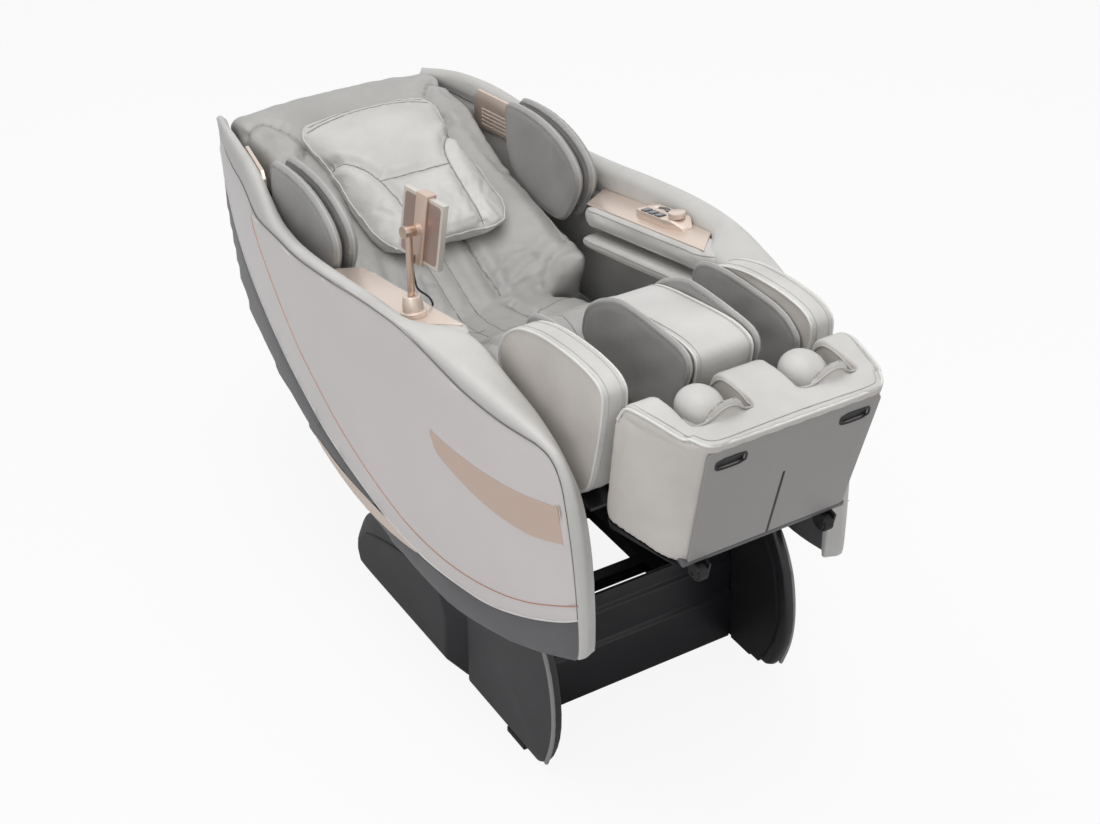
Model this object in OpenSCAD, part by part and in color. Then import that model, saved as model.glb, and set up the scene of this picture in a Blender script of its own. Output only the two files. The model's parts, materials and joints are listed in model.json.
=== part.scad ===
// Zero gravity massage chair, reclined as it stands on show.
// The sitter faces -Y, +Z is up, and the floor is Z = 0 below the middle of the chair.

/* [Side shells] */
// Overall width across the side shells
body_w = 780; // [770:2:800]
// Length of the side shells, front tip to rear end
shell_l = 1610; // [1590:5:1640]
// Height of the side shells, lowest edge to highest
shell_h = 572; // [560:2:590]
// Height of the shells' lowest edge above the floor
shell_low = 294; // [288:1:304]
// Distance from the origin back to the shells' rear end
rear_reach = 899; // [890:1:910]
// Plan radius of the shells' outer face
shell_r = 2990; // [2900:10:3100]
// Distance behind the origin at which the shells are widest
shell_wide_y = 30; // [10:5:50]
// Thickness of the moulded outer shell
shell_t = 9; // [6:1:12]
// Thickness of a side wall with its padding where the walls are furthest apart
wall_t = 44; // [40:1:50]
// Plan radius of the padded inner walls
inner_r = 3300; // [3200:20:3400]
// Distance behind the origin at which the inner walls are furthest apart
inner_wide_y = 59; // [40:1:80]
// Thickness of the hull under the back
hull_t = 6; // [4:1:8]
// How far the trim stands proud of the shell
trim_t = 1.5; // [1:0.5:3]
// Width of the pinstripe
stripe_w = 5; // [3:1:8]

/* [Base] */
// Width from the shell's outer face in to the inner face of a base upright
upright_room = 135; // [134:0.5:136]
// Thickness of a steel upright
upright_t = 7; // [5:1:8]
// Thickness of a moulded side cover
fin_t = 23; // [16:1:23]
// How far a rear cover bulges past the upright
bulge_t = 43; // [34:1:48]
// Distance from the origin forward to the side covers' front edge
fin_front = 606; // [590:2:608]
// Length of a side cover
fin_l = 427; // [420:1:434]
// Height of the floor rails' underside and the side covers' lower edge
foot_h = 12; // [8:1:16]
// Height of a floor rail
rail_h = 30; // [26:1:36]
// Width of a floor rail
rail_w = 32; // [28:1:36]
// Length of the floor rails
rail_l = 640; // [620:5:660]
// Distance from the origin back to the rails' rear end
rail_rear = 216; // [210:2:222]
// Length of a rubber foot
foot_l = 65; // [50:5:80]
// Width of a rubber foot
foot_w = 20; // [16:1:22]
// Length of a rear cover
cover_l = 492; // [484:1:500]
// Height of a rear cover
cover_h = 256; // [240:2:262]
// Height of the front cross panel
panel_h = 236; // [220:2:240]
// Thickness of the front cross panel
panel_t = 9; // [6:1:10]
// Radius of a transport wheel
transport_r = 24; // [20:1:26]
// Width of a transport wheel
transport_w = 22; // [18:1:26]
// Width of the power box
power_w = 130; // [116:2:136]
// Depth of the power box
power_d = 60; // [50:2:66]
// Height of the power box
power_h = 82; // [70:2:90]
// Width of the air pump
pump_w = 150; // [130:5:160]
// Length of the air pump
pump_l = 110; // [90:5:120]
// Height of the air pump
pump_h = 62; // [50:2:80]

/* [Recline] */
// Radius of a main pivot pin
pivot_r = 14; // [12:0.5:16]
// Radius of an actuator tube
tube_r = 20; // [17:1:22]
// Radius of an actuator rod
rod_r = 9; // [8:0.5:10]
// Radius of the pins that hold the actuators
eye_pin_r = 6; // [5:0.5:7]
// Distance from the origin forward to the recline actuator's foot pin
recline_foot_y = 147; // [140:1:154]
// Height of the recline actuator's foot pin
recline_foot_z = 60; // [56:1:64]

/* [Seat and back] */
// Angle of the back above the floor
back_tilt = 19; // [18.5:0.25:19.5]
// Length of the back cushion
back_l = 766; // [750:2:780]
// Width at each side of the back cushion for the shoulder pads and the wall
back_room = 140; // [139:1:150]
// Depth of the back cushion below the sitter's back
back_d = 76; // [70:1:80]
// Width at each side of the seat cushion for the frame and the wall
seat_room = 164; // [162:1:170]
// Thickness of the seat cushion at its middle
seat_t = 84; // [76:1:92]
// Width from the shell's outer face in to the seat frame's side plates
plate_room = 148; // [145:1:151]
// Thickness of the seat frame's side plates
plate_t = 10; // [8:1:12]
// Radius of the seat frame's cross tubes
cross_r = 12; // [10:0.5:14]
// Width of the head pillow
pillow_w = 344; // [320:4:360]
// Length of the head pillow
pillow_l = 370; // [350:2:374]
// Thickness of the head pillow
pillow_t = 60; // [50:2:64]
// Length of a shoulder pad
shoulder_l = 312; // [300:2:324]
// Height of a shoulder pad
shoulder_h = 214; // [200:2:222]
// Thickness of a shoulder pad
shoulder_t = 24; // [18:1:26]
// Length of a speaker plate
speaker_l = 158; // [140:2:170]
// Height of a speaker plate
speaker_h = 92; // [80:2:100]

/* [Massage unit] */
// Length of the guide rails
track_l = 545; // [520:5:555]
// Half distance between the inner faces of the guide rails
track_x = 70; // [64:1:76]
// Height of a guide rail
track_h = 34; // [30:1:38]
// Length of the massage carriage
carriage_l = 130; // [110:2:140]
// Radius of a kneading wheel
knead_r = 34; // [28:1:36]
// Width of a kneading wheel
knead_w = 22; // [18:1:26]
// Radius of the carriage's guide rod
screw_r = 8; // [6:0.5:9]
// Depth from the back cushion down to the guide rails
mech_d = 92; // [88:1:96]

/* [Armrests] */
// Slope of the armrests down to the rear
arm_tilt = 11; // [10.5:0.25:11.5]
// Length of an armrest plate along its inner edge
arm_l = 425; // [410:2:436]
// Width from the shell's outer face in to an armrest plate's inner edge
arm_room = 124; // [120:1:128]
// Thickness of an armrest plate
arm_plate_t = 5; // [4:0.5:7]
// Thickness of an armrest cushion
arm_pad_t = 42; // [38:1:46]
// Gap for the forearm between an armrest cushion and the pad below
forearm_gap = 20; // [16:1:24]
// Thickness of a forearm pad
forearm_t = 22; // [18:1:26]

/* [Leg rest] */
// Slope of the leg rest down to the feet
leg_tilt = 12.8; // [12.4:0.2:13.2]
// Width from the shell's outer face in to the calf blocks
calf_room = 150; // [148:1:153]
// Length of a calf block
calf_l = 330; // [320:2:332]
// Height of the calf blocks above the knee pivot
calf_h = 304; // [294:2:312]
// Thickness of an outer calf block
calf_t = 50; // [44:1:54]
// Width of the centre block
centre_w = 124; // [114:2:130]
// Thickness of a calf leaf pad
leaf_t = 16; // [12:1:18]
// Radius of the knee pivot pins
knee_r = 10; // [9:0.5:11]
// Radius of a slide rod under the foot rest
slide_r = 9; // [8:0.5:10]

/* [Foot rest] */
// Distance from the knee pivot to the sole panel's outer face
sole_s = 498; // [494:1:502]
// Width across the foot rest at its rear edge
foot_unit_w = 454; // [446:2:462]
// Width across the foot rest at the sole panel
sole_w = 396; // [388:2:402]
// Height of the foot rest's front edge above the knee pivot
foot_top = 340; // [334:1:346]
// Thickness of the sole panel
sole_t = 12; // [10:1:14]
// Thickness of the leather top
foot_pad_t = 24; // [18:1:30]
// Width of a foot well
well_w = 122; // [112:2:126]
// Radius of a foot rest caster
caster_r = 16; // [14:1:18]
// Width of a foot rest caster
caster_w = 18; // [16:1:20]
// Radius of a sole roller
roller_r = 19; // [16:1:20]
// Travel of the foot rest along its slide rods
foot_travel = 150; // [120:5:160]

/* [Controls] */
// Length of the keypad
keypad_l = 158; // [150:2:164]
// Width of the keypad
keypad_w = 52; // [46:1:53]
// Height of the keypad
keypad_h = 17; // [15:1:19]
// Side of a square key
key_w = 19; // [16:1:20]
// Travel of a key
key_travel = 1.2; // [0.8:0.1:1.5]
// Radius of the dial
dial_r = 18; // [16:1:19]
// Height of the dial
dial_h = 12; // [9:1:13]
// Height of the tablet's pivot above the armrest plate
post_h = 165; // [150:5:180]
// Radius of the tablet's post
post_r = 7; // [6:0.5:8]
// Width of the tablet
tablet_w = 114; // [104:2:124]
// Height of the tablet
tablet_h = 126; // [116:2:136]
// Thickness of the tablet
tablet_t = 12; // [9:1:14]
// Diameter of the tablet's lead
lead_d = 4; // [3.5:0.5:5]

/* [Hidden] */

// Running clearance of a pin in its bore, on the radius
fit = 0.05;
// Clear space between a piece and its neighbour
gap = 0.4;
// Overrun of a cut past a face
over = 10;
// Segments of the large plan radii, of bores and of drawn rounds
plan_fn = 360;
round_fn = 48;
// Share by which outlines are rounded at each pass
corner_share = 0.25;
// Widths that follow the width across the shells
inner_w = body_w - 2 * wall_t;
upright_x = body_w / 2 - upright_room;
back_w = body_w - 2 * back_room;
seat_w = body_w - 2 * seat_room;
frame_w = body_w - 2 * plate_room;
arm_x = body_w / 2 - arm_room;
calf_w = body_w - 2 * calf_room;

// Places in the side view are shares of the shells' length and height
shell_front = rear_reach - shell_l;
function side_at(s) = [shell_front + s[0] * shell_l, shell_low + s[1] * shell_h];
function side(shares) = [for (s = shares) side_at(s)];
function unit(v) = v / norm(v);
function way(p, i) = unit(p[min(i + 1, len(p) - 1)] - p[max(i - 1, 0)]);
function beside(p, i, d) = p[i] + d * [-way(p, i)[1], way(p, i)[0]];
function band(p, a, b) = concat(
    [for (i = [0:len(p) - 1]) beside(p, i, a)],
    [for (i = [len(p) - 1:-1:0]) beside(p, i, b)]);
function mix(a, b, t) = a + (b - a) * t;
function rounded(p, n) = n == 0 ? p : rounded([for (i = [0:len(p) - 1]) for (t = [corner_share, 1 - corner_share])
    mix(p[i], p[(i + 1) % len(p)], t)], n - 1);
function eased(p, n) = n == 0 ? p : eased(concat([p[0]],
    [for (i = [0:len(p) - 2]) for (t = [corner_share, 1 - corner_share]) mix(p[i], p[i + 1], t)],
    [p[len(p) - 1]]), n - 1);

// Outlines of the side walls
roof_shares = [[0.984, 0.895], [0.928, 0.867], [0.872, 0.843], [0.825, 0.864], [0.783, 0.853], [0.742, 0.809],
    [0.698, 0.832], [0.647, 0.858], [0.579, 0.874], [0.492, 0.918], [0.391, 0.972], [0.319, 0.991],
    [0.281, 0.977], [0.232, 0.946], [0.189, 0.914], [0.124, 0.890], [0.062, 0.895], [0.041, 0.867],
    [0.030, 0.806], [0.023, 0.710], [0.015, 0.587], [0.003, 0.336]];
border_shares = [[0.003, 0.336], [0.030, 0.283], [0.087, 0.205], [0.150, 0.147], [0.198, 0.135], [0.245, 0.126],
    [0.283, 0.126], [0.347, 0.145], [0.398, 0.178], [0.454, 0.212], [0.516, 0.248], [0.600, 0.322],
    [0.666, 0.374], [0.729, 0.427], [0.806, 0.483], [0.884, 0.556], [0.934, 0.632], [0.984, 0.774]];
floor_shares = [[0.984, 0.774], [1, 0.713], [0.976, 0.535], [0.950, 0.413], [0.897, 0.294], [0.807, 0.241],
    [0.711, 0.217], [0.633, 0.184], [0.557, 0.150], [0.490, 0.119], [0.415, 0.087], [0.370, 0.066],
    [0.316, 0.037], [0.270, 0.017], [0.220, 0.002], [0.151, 0.030], [0.088, 0.070], [0.030, 0.133],
    [0, 0.171], [0.003, 0.336]];
crest_shares = [[0.986, 0.906], [0.943, 0.941], [0.908, 0.963], [0.873, 0.972], [0.799, 0.972], [0.748, 0.951],
    [0.720, 0.923], [0.692, 0.895], [0.667, 0.885], [0.642, 0.888], [0.579, 0.902], [0.492, 0.942],
    [0.391, 0.993], [0.319, 1.010], [0.281, 1], [0.244, 0.976], [0.196, 0.937], [0.160, 0.916],
    [0.124, 0.909], [0.086, 0.916], [0.058, 0.909], [0.037, 0.876], [0.022, 0.797], [0.015, 0.692],
    [0.007, 0.535], [0, 0.336], [0, 0.173]];
lining_shares = [[0.012, 0.173], [0.012, 0.517], [0.102, 0.474], [0.114, 0.308], [0.375, 0.308], [0.499, 0.255],
    [0.624, 0.273], [0.810, 0.325], [0.897, 0.395], [0.953, 0.517], [0.980, 0.675]];
stripe_shares = [[0.754, 0.801], [0.745, 0.753], [0.702, 0.680], [0.647, 0.591], [0.588, 0.497], [0.538, 0.441],
    [0.477, 0.364], [0.413, 0.302], [0.349, 0.247], [0.292, 0.208], [0.217, 0.196], [0.149, 0.220],
    [0.087, 0.269], [0.041, 0.332], [0.003, 0.392]];
plaque_shares = [[0.248, 0.698], [0.220, 0.685], [0.176, 0.678], [0.130, 0.680], [0.088, 0.692], [0.051, 0.715],
    [0.031, 0.726], [0.022, 0.591], [0.068, 0.547], [0.110, 0.538], [0.155, 0.547], [0.202, 0.579],
    [0.237, 0.610], [0.248, 0.671]];
hull_shares = [[0.530, 0.161], [0.557, 0.175], [0.633, 0.208], [0.711, 0.241], [0.807, 0.267], [0.894, 0.322],
    [0.942, 0.427], [0.966, 0.542], [0.982, 0.643], [0.984, 0.713], [0.975, 0.812]];

// Main points of the mechanism in the side view
pivot = side_at([0.294, 0.185]);
knee = side_at([0.232, 0.710]);
hip = side_at([0.518, 0.535]);
recline_foot = [-recline_foot_y, recline_foot_z];
recline_head = side_at([0.450, 0.063]);
lift_foot = side_at([0.357, 0.290]);
lift_lug_shares = [0.364, -0.046];

// A flat outline of the side view, drawn across the chair from x0 to x1
module across(x0, x1) {
    translate([x0, 0, 0])
        rotate([90, 0, 90])
            linear_extrude(x1 - x0)
                children();
}
module slab(x0, x1, points) {
    across(x0, x1)
        polygon(points);
}
// A pin, tube or bore across the chair about a point of the side view
module barrel(x0, x1, at, r) {
    translate([x0, at[0], at[1]])
        rotate([0, 90, 0])
            cylinder(h = x1 - x0, r = r, $fn = round_fn);
}
module both() {
    children();
    mirror([1, 0, 0])
        children();
}
module right() {
    mirror([1, 0, 0])
        children();
}
// Everything inside a plan radius whose crown is half_w from the middle
module inside(half_w, r, mid_y) {
    translate([half_w - r, mid_y, -over])
        cylinder(h = shell_low + 2 * shell_h, r = r, $fn = plan_fn);
}
// A slice of the side wall between two depths below the shell's outer face
module wall_slice(points, d0, d1) {
    intersection() {
        slab(0, body_w, points);
        difference() {
            inside(body_w / 2 - d0, shell_r - d0, shell_wide_y);
            inside(body_w / 2 - d1, shell_r - d1, shell_wide_y);
        }
    }
}
// Half distance between the padded inner walls at a place along the chair
function wall_x(y) = inner_w / 2 - inner_r + sqrt(inner_r * inner_r - (y - inner_wide_y) * (y - inner_wide_y));

// A closed skin over a list of rings with equal counts of points
module loft(rings) {
    n = len(rings[0]);
    m = len(rings);
    polyhedron(
        points = [for (r = rings) for (p = r) p],
        faces = concat(
            [for (j = [1:n - 2]) [0, j, j + 1]],
            [for (j = [1:n - 2]) [(m - 1) * n, (m - 1) * n + j + 1, (m - 1) * n + j]],
            [for (i = [0:m - 2]) for (j = [0:n - 1]) [i * n + j, (i + 1) * n + j, i * n + (j + 1) % n]],
            [for (i = [0:m - 2]) for (j = [0:n - 1])
                [i * n + (j + 1) % n, (i + 1) * n + j, (i + 1) * n + (j + 1) % n]]));
}
// One ring of a cushion at y: a flat base, rounded corners q and a top whose heights run from the
// middle out to the edge as shares of the way between centre and edge height
top_shares = [[0.35, 0.06], [0.62, 0.28], [0.84, 0.72]];
function ring(y, hw, z0, centre, edge, q) = back_to_front(concat(
    [[-hw + q, y, z0], [0, y, z0], [hw - q, y, z0], [hw, y, z0 + q], [hw, y, edge - q], [hw - q, y, edge]],
    [for (i = [2:-1:0]) [(hw - q) * top_shares[i][0], y, mix(centre, edge, top_shares[i][1])]],
    [[0, y, centre]],
    [for (t = top_shares) [-(hw - q) * t[0], y, mix(centre, edge, t[1])]],
    [[-hw + q, y, edge], [-hw, y, edge - q], [-hw, y, z0 + q]]));
// A sewn leaf: an outline that closes in to rounded faces, thickness t about its own plane
leaf_shares = [[0.15, -1], [0.55, -0.93], [0.85, -0.66], [0.97, -0.36], [1, 0], [0.97, 0.36], [0.85, 0.66],
    [0.55, 0.93], [0.15, 1]];
function back_to_front(p) = [for (i = [len(p) - 1:-1:0]) p[i]];
function area(p) = let (a = [for (i = [0:len(p) - 1]) cross(p[i], p[(i + 1) % len(p)])]) a * [for (v = a) 1];
function anticlockwise(p) = area(p) > 0 ? p : back_to_front(p);
function middle(p) = [for (k = [0, 1]) (max([for (v = p) v[k]]) + min([for (v = p) v[k]])) / 2];
pad_shares = [[0.90, -1], [0.96, -0.90], [0.99, -0.62], [1, -0.30], [1, 0.30], [0.99, 0.62], [0.96, 0.90], [0.90, 1]];
function leaf_rings(p, t, shares) = let (c = middle(p), q = anticlockwise(p)) [for (s = shares) [for (v = q)
    [c[0] + (v[0] - c[0]) * s[0], c[1] + (v[1] - c[1]) * s[0], s[1] * t / 2]]];
// The same leaf standing in the side view, its middle plane at x
module side_leaf(points, x, t, shares) {
    translate([x, 0, 0])
        rotate([90, 0, 90])
            loft(leaf_rings(points, t, shares));
}
module aimed(at, angle) {
    translate([0, at[0], at[1]])
        rotate([angle, 0, 0])
            children();
}
module rod(y0, y1, r) {
    translate([0, y0, 0])
        rotate([-90, 0, 0])
            cylinder(h = y1 - y0, r = r, $fn = round_fn);
}
module block(x0, x1, y0, y1, z0, z1) {
    translate([x0, y0, z0])
        cube([x1 - x0, y1 - y0, z1 - z0]);
}

// ---------- base ----------
body_x = upright_x + upright_t;
rail_front = rail_rear - rail_l;
rail_top = foot_h + rail_h;
fin_over_share = 1.16;
fin_h = (pivot[1] - foot_h) * fin_over_share;
fin_shares = [[0.138, 0], [0.080, 0.040], [0.021, 0.173], [0, 0.307], [0.016, 0.462], [0.059, 0.616],
    [0.185, 0.796], [0.419, 0.918], [0.700, 0.991], [0.864, 1], [0.970, 0.951], [1, 0.862], [0.977, 0.729],
    [0.789, 0.556], [0.789, 0]];
upright_shares = [[0.170, 0.010], [0.090, 0.170], [0.060, 0.310], [0.080, 0.460], [0.120, 0.600], [0.240, 0.760],
    [0.450, 0.870], [0.720, 0.940], [0.860, 0.940], [0.930, 0.900], [0.950, 0.830], [0.900, 0.720],
    [0.740, 0.550], [0.740, 0.010]];
function fin(shares) = [for (s = shares) [-fin_front + s[0] * fin_l, foot_h + s[1] * fin_h]];
cover_front = fin([fin_shares[14]])[0][0] + gap;
cover_low = foot_h / 2;
cover_shares = [[0, 0], [0.980, 0], [1, 0.200], [1, 0.370], [0.960, 0.490], [0.845, 0.640], [0.680, 0.740],
    [0.410, 0.890], [0.200, 0.980], [0.080, 0.900], [0, 0.600]];
cover_inset_shares = [[0.110, 0.130], [0.900, 0.100], [0.925, 0.220], [0.915, 0.340], [0.860, 0.440],
    [0.760, 0.550], [0.600, 0.650], [0.400, 0.760], [0.230, 0.830], [0.150, 0.780], [0.100, 0.580]];
function cover(shares) = [for (s = shares) [cover_front + s[0] * cover_l, cover_low + s[1] * cover_h]];
eye_r = eye_pin_r + 7 / 6 * eye_pin_r;
eye_x = 14 / 6 * eye_pin_r;
ear_t = eye_pin_r;
axle_r = eye_pin_r;
axle_y = rail_rear - 0.75 * transport_r;
axle_z = transport_r * 1.125;
axle_depth_share = 0.375;
bar_shares = [0.772, 0.866];

module base_frame() color("#2b2b2e") {
    difference() {
        union() {
            both() {
                block(upright_x - rail_w, upright_x, rail_front, rail_rear, foot_h, rail_top);
                slab(upright_x, body_x, fin(upright_shares));
                barrel(frame_w / 2 - 1.6 * plate_t, body_x, pivot, pivot_r);
                barrel(frame_w / 2 + gap, upright_x + gap, pivot, pivot_r * 1.6);
                slab(eye_x, eye_x + ear_t, [[recline_foot[0] - eye_r, rail_top - gap], [recline_foot[0] - eye_r,
                    recline_foot[1]], [recline_foot[0] + eye_r, recline_foot[1]], [recline_foot[0] + eye_r,
                    rail_top - gap]]);
                barrel(eye_x, eye_x + ear_t, recline_foot, eye_r);
            }
            barrel(-eye_x - ear_t, eye_x + ear_t, recline_foot, eye_pin_r);
            cross_bar(rail_front);
            cross_bar(recline_foot[0] - rail_h / 2);
            for (s = bar_shares)
                cross_bar(rail_front + s * rail_l);
        }
        both()
            barrel(upright_x - rail_w - over, upright_x - rail_w + rail_w * axle_depth_share, [axle_y, axle_z],
                axle_r + fit);
    }
}
module cross_bar(y) {
    block(-upright_x + rail_w / 2, upright_x - rail_w / 2, y, y + rail_h, foot_h, rail_top);
}
module base_side_left() color("#303034") slab(body_x, body_x + fin_t, eased(fin(fin_shares), 1));
module base_side_right() color("#303034") right() slab(body_x, body_x + fin_t, eased(fin(fin_shares), 1));
module rear_cover() {
    hull() {
        slab(upright_x, body_x + upright_t, cover(cover_shares));
        slab(body_x, body_x + bulge_t, cover(cover_inset_shares));
    }
}
module rear_cover_left() color("#26262a") rear_cover();
module rear_cover_right() color("#26262a") right() rear_cover();
panel_shares = [[0, 0], [0, 0.490], [0.890, 0.520], [0.890, 0.830], [1.780, 0.860], [1.780, 1]];
module cross_panel() color("#2a2a2d") {
    front = [for (s = panel_shares) [rail_front - panel_t + s[0] * panel_t, foot_h + s[1] * panel_h]];
    rear = [for (s = panel_shares) [rail_front + s[0] * panel_t, foot_h + s[1] * panel_h]];
    slab(-upright_x + gap, upright_x - gap, concat(front, back_to_front(rear)));
}
front_foot_share = 0.266;
rear_foot_share = 0.880;
module base_feet() color("#161618") both() {
    block(body_x + (fin_t - foot_w) / 2, body_x + (fin_t + foot_w) / 2, -fin_front + front_foot_share * fin_l,
        -fin_front + front_foot_share * fin_l + foot_l, 0, foot_h);
    block(upright_x - (rail_w + foot_w) / 2, upright_x - (rail_w - foot_w) / 2, rail_front + rear_foot_share * rail_l,
        rail_front + rear_foot_share * rail_l + foot_l, 0, foot_h);
}
power_x = tube_r * 1.5;
power_rear = rail_front + bar_shares[1] * rail_l + rail_h + rail_h / 3;
inlet_w_share = 0.22;
inlet_h_share = 0.26;
inlet_d_share = 0.22;
inlet_at_shares = [0.68, 0.30];
module power_box() color("#1c1c1e") difference() {
    block(power_x, power_x + power_w, power_rear - power_d, power_rear, rail_top, rail_top + power_h);
    block(power_x + inlet_at_shares[0] * power_w, power_x + (inlet_at_shares[0] + inlet_w_share) * power_w,
        power_rear - inlet_d_share * power_d, power_rear + over,
        rail_top + inlet_at_shares[1] * power_h, rail_top + (inlet_at_shares[1] + inlet_h_share) * power_h);
}
module transport_wheels() color("#202022") {
    barrel(-upright_x + rail_w * (1 - axle_depth_share) + gap, upright_x - rail_w * (1 - axle_depth_share) - gap,
        [axle_y, axle_z], axle_r);
    both()
        barrel(upright_x - rail_w - 2 * transport_w, upright_x - rail_w - transport_w, [axle_y, axle_z], transport_r);
}
nozzle_shares = [0.25, 0.75];
module air_pump() color("#3a3a3d") {
    pump_y = rail_front + bar_shares[0] * rail_l - pump_l * 0.28;
    block(-tube_r - pump_w, -tube_r, pump_y, pump_y + pump_l, rail_top, rail_top + pump_h);
    for (s = nozzle_shares)
        translate([-tube_r - s * pump_w, pump_y, rail_top + 0.6 * pump_h])
            rotate([90, 0, 0])
                cylinder(h = pump_h / 4, r = pump_h / 10, $fn = round_fn);
}

// ---------- actuators ----------
recline_span = norm(recline_head - recline_foot);
recline_angle = atan2(recline_head[1] - recline_foot[1], recline_head[0] - recline_foot[0]);
function turned(o, angle, p) = o + [p[0] * cos(angle) - p[1] * sin(angle), p[0] * sin(angle) + p[1] * cos(angle)];
function leg_at(s) = [-s[0] * calf_l, s[1] * calf_h];
lift_lug = leg_at(lift_lug_shares);
lift_head = turned(knee, leg_tilt, lift_lug);
lift_span = norm(lift_head - lift_foot);
lift_angle = atan2(lift_head[1] - lift_foot[1], lift_head[0] - lift_foot[0]);
tube_l = tube_r * 12.6;
stroke_l = tube_r * 2.4;
loose_eye_r = tube_r * 0.675;
head_pin_r = eye_pin_r * 5 / 6;
// A tube with its motor beside it, the foot eye at the start of its axis
module actuator_tube(bore_from) {
    difference() {
        union() {
            barrel(-eye_x + gap, eye_x - gap, [0, 0], eye_r);
            block(-eye_x / 2, eye_x / 2, 0, tube_r * 1.5, -eye_r * 0.8, eye_r * 0.8);
            rod(tube_r, tube_l, tube_r);
            block(0, 2.6 * tube_r, tube_r * 1.2, tube_r * 2.6, -0.7 * tube_r, 0.7 * tube_r);
            translate([1.8 * tube_r + gap, 0, 0])
                rod(tube_r * 2, tube_l / 2, tube_r * 0.8);
        }
        barrel(-eye_x - over, eye_x + over, [0, 0], eye_pin_r + fit);
        rod(bore_from, tube_l + over, rod_r + fit);
    }
}
module actuator_rod(start, span) {
    difference() {
        union() {
            rod(start, span - loose_eye_r - rod_r / 4, rod_r);
            barrel(-eye_x + gap, eye_x - gap, [span, 0], loose_eye_r + rod_r);
        }
        barrel(-eye_x - over, eye_x + over, [span, 0], loose_eye_r);
    }
}
module recline_tube() color("#55585c") aimed(recline_foot, recline_angle) actuator_tube(stroke_l);
module recline_rod() color("#b8bcc0") aimed(recline_foot, recline_angle)
    actuator_rod(stroke_l + 1.6 * tube_r, recline_span);
module lift_tube() color("#55585c") aimed(lift_foot, lift_angle) actuator_tube(1.5 * tube_r);
module lift_rod() color("#b8bcc0") aimed(lift_foot, lift_angle) actuator_rod(6.5 * tube_r, lift_span);

// ---------- seat frame ----------
seat_plate_shares = [[0.216, 0.710], [0.223, 0.748], [0.237, 0.752], [0.251, 0.696], [0.260, 0.692], [0.282, 0.664],
    [0.325, 0.580], [0.375, 0.486], [0.437, 0.402], [0.493, 0.374], [0.521, 0.388], [0.542, 0.417],
    [0.939, 0.802], [0.953, 0.735], [0.921, 0.574], [0.893, 0.477], [0.640, 0.237], [0.581, 0.235],
    [0.530, 0.194], [0.487, 0.136], [0.450, 0.119], [0.400, 0.159], [0.344, 0.220], [0.316, 0.136],
    [0.294, 0.126], [0.273, 0.159], [0.271, 0.220], [0.282, 0.360], [0.257, 0.517], [0.220, 0.657]];
seat_under_shares = [[0.257, 0.710], [0.282, 0.675], [0.325, 0.591], [0.375, 0.497], [0.437, 0.413],
    [0.493, 0.385], [0.518, 0.399]];
tube_shares = [[0.268, 0.573], [0.380, 0.281], [0.450, 0.159]];
back_tube_shares = [[0.239, 0], [1.009, 0]];
head_tube_shares = [0.9352, 0.7322];
side_mount_shares = [[0.300, 0.400], [0.450, 0.335]];
under_tube_share = 0.6;
track_start_share = 0.091;
mech_z = -back_d - mech_d;
pan_t = 0.8 * plate_t;
module back_frame() {
    translate([0, hip[0], hip[1]])
        rotate([back_tilt, 0, 0])
            children();
}
plate_in = frame_w / 2 - plate_t;
head_tube = side_at(head_tube_shares);
// The two side plates, with the stubs that carry the side walls
module seat_plates() color("#232326") both() difference() {
    union() {
        slab(plate_in, frame_w / 2, side(seat_plate_shares));
        for (p = side(side_mount_shares))
            barrel(plate_in, wall_x(p[0] - cross_r) - gap, p, cross_r);
        barrel(plate_in, wall_x(head_tube[0] + cross_r) - gap, head_tube, cross_r);
    }
    barrel(plate_in - over, frame_w / 2 + over, pivot, pivot_r + fit);
    barrel(plate_in - over, frame_w / 2 + over, knee, knee_r + fit);
}
// Everything between the side plates: the pan, the cross tubes, the guide rails and the brackets
module seat_frame() color("#232326") {
    track_y = track_start_share * back_l;
    across_x = plate_in - gap;
    slab(-across_x, across_x, band(side(seat_under_shares), 0, -pan_t));
    for (t = side(tube_shares))
        barrel(-across_x, across_x, t, cross_r);
    barrel(-across_x, across_x, head_tube, cross_r);
    back_frame() {
        for (s = back_tube_shares)
            barrel(-across_x, across_x, [s[0] * track_l, mech_z - track_h - under_tube_share * cross_r], cross_r);
        both() {
            block(track_x, track_x + plate_t, track_y, track_y + track_l, mech_z - track_h, mech_z);
            for (y = [track_y, track_y + track_l - plate_t])
                block(-gap, track_x + gap, y, y + plate_t, mech_z - track_h, mech_z - track_h / 8);
        }
        translate([0, 0, mech_z - track_h / 2])
            rod(track_y, track_y + track_l, screw_r);
    }
    both() {
        bracket(side(tube_shares)[2], recline_head, eye_x + ear_t / 6);
        bracket(side(tube_shares)[1], lift_foot, eye_x);
    }
    barrel(-eye_x - ear_t, eye_x + ear_t, recline_head, head_pin_r);
    barrel(-eye_x - ear_t, eye_x + ear_t, lift_foot, eye_pin_r);
}
// One cheek of a bracket that hangs a pin at q from a cross tube at p
module bracket(p, q, x) {
    slab(x, x + ear_t, band([p, q], -eye_r, eye_r));
    barrel(x, x + ear_t, q, eye_r);
}

// ---------- side walls ----------
strip_share = 0.0125;
front_edge_shares = [[0.041, 0.867], [0.030, 0.806], [0.023, 0.710], [0.015, 0.587], [0.003, 0.336], [0, 0.173]];
arm_y_share = 0.2801;
arm_z_share = 0.972;
arm_at = side_at([arm_y_share, arm_z_share]);
function arm_side(s) = turned(arm_at, -arm_tilt, s);
module inner_space(d) {
    inside(inner_w / 2 - d, inner_r, inner_wide_y);
}
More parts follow.
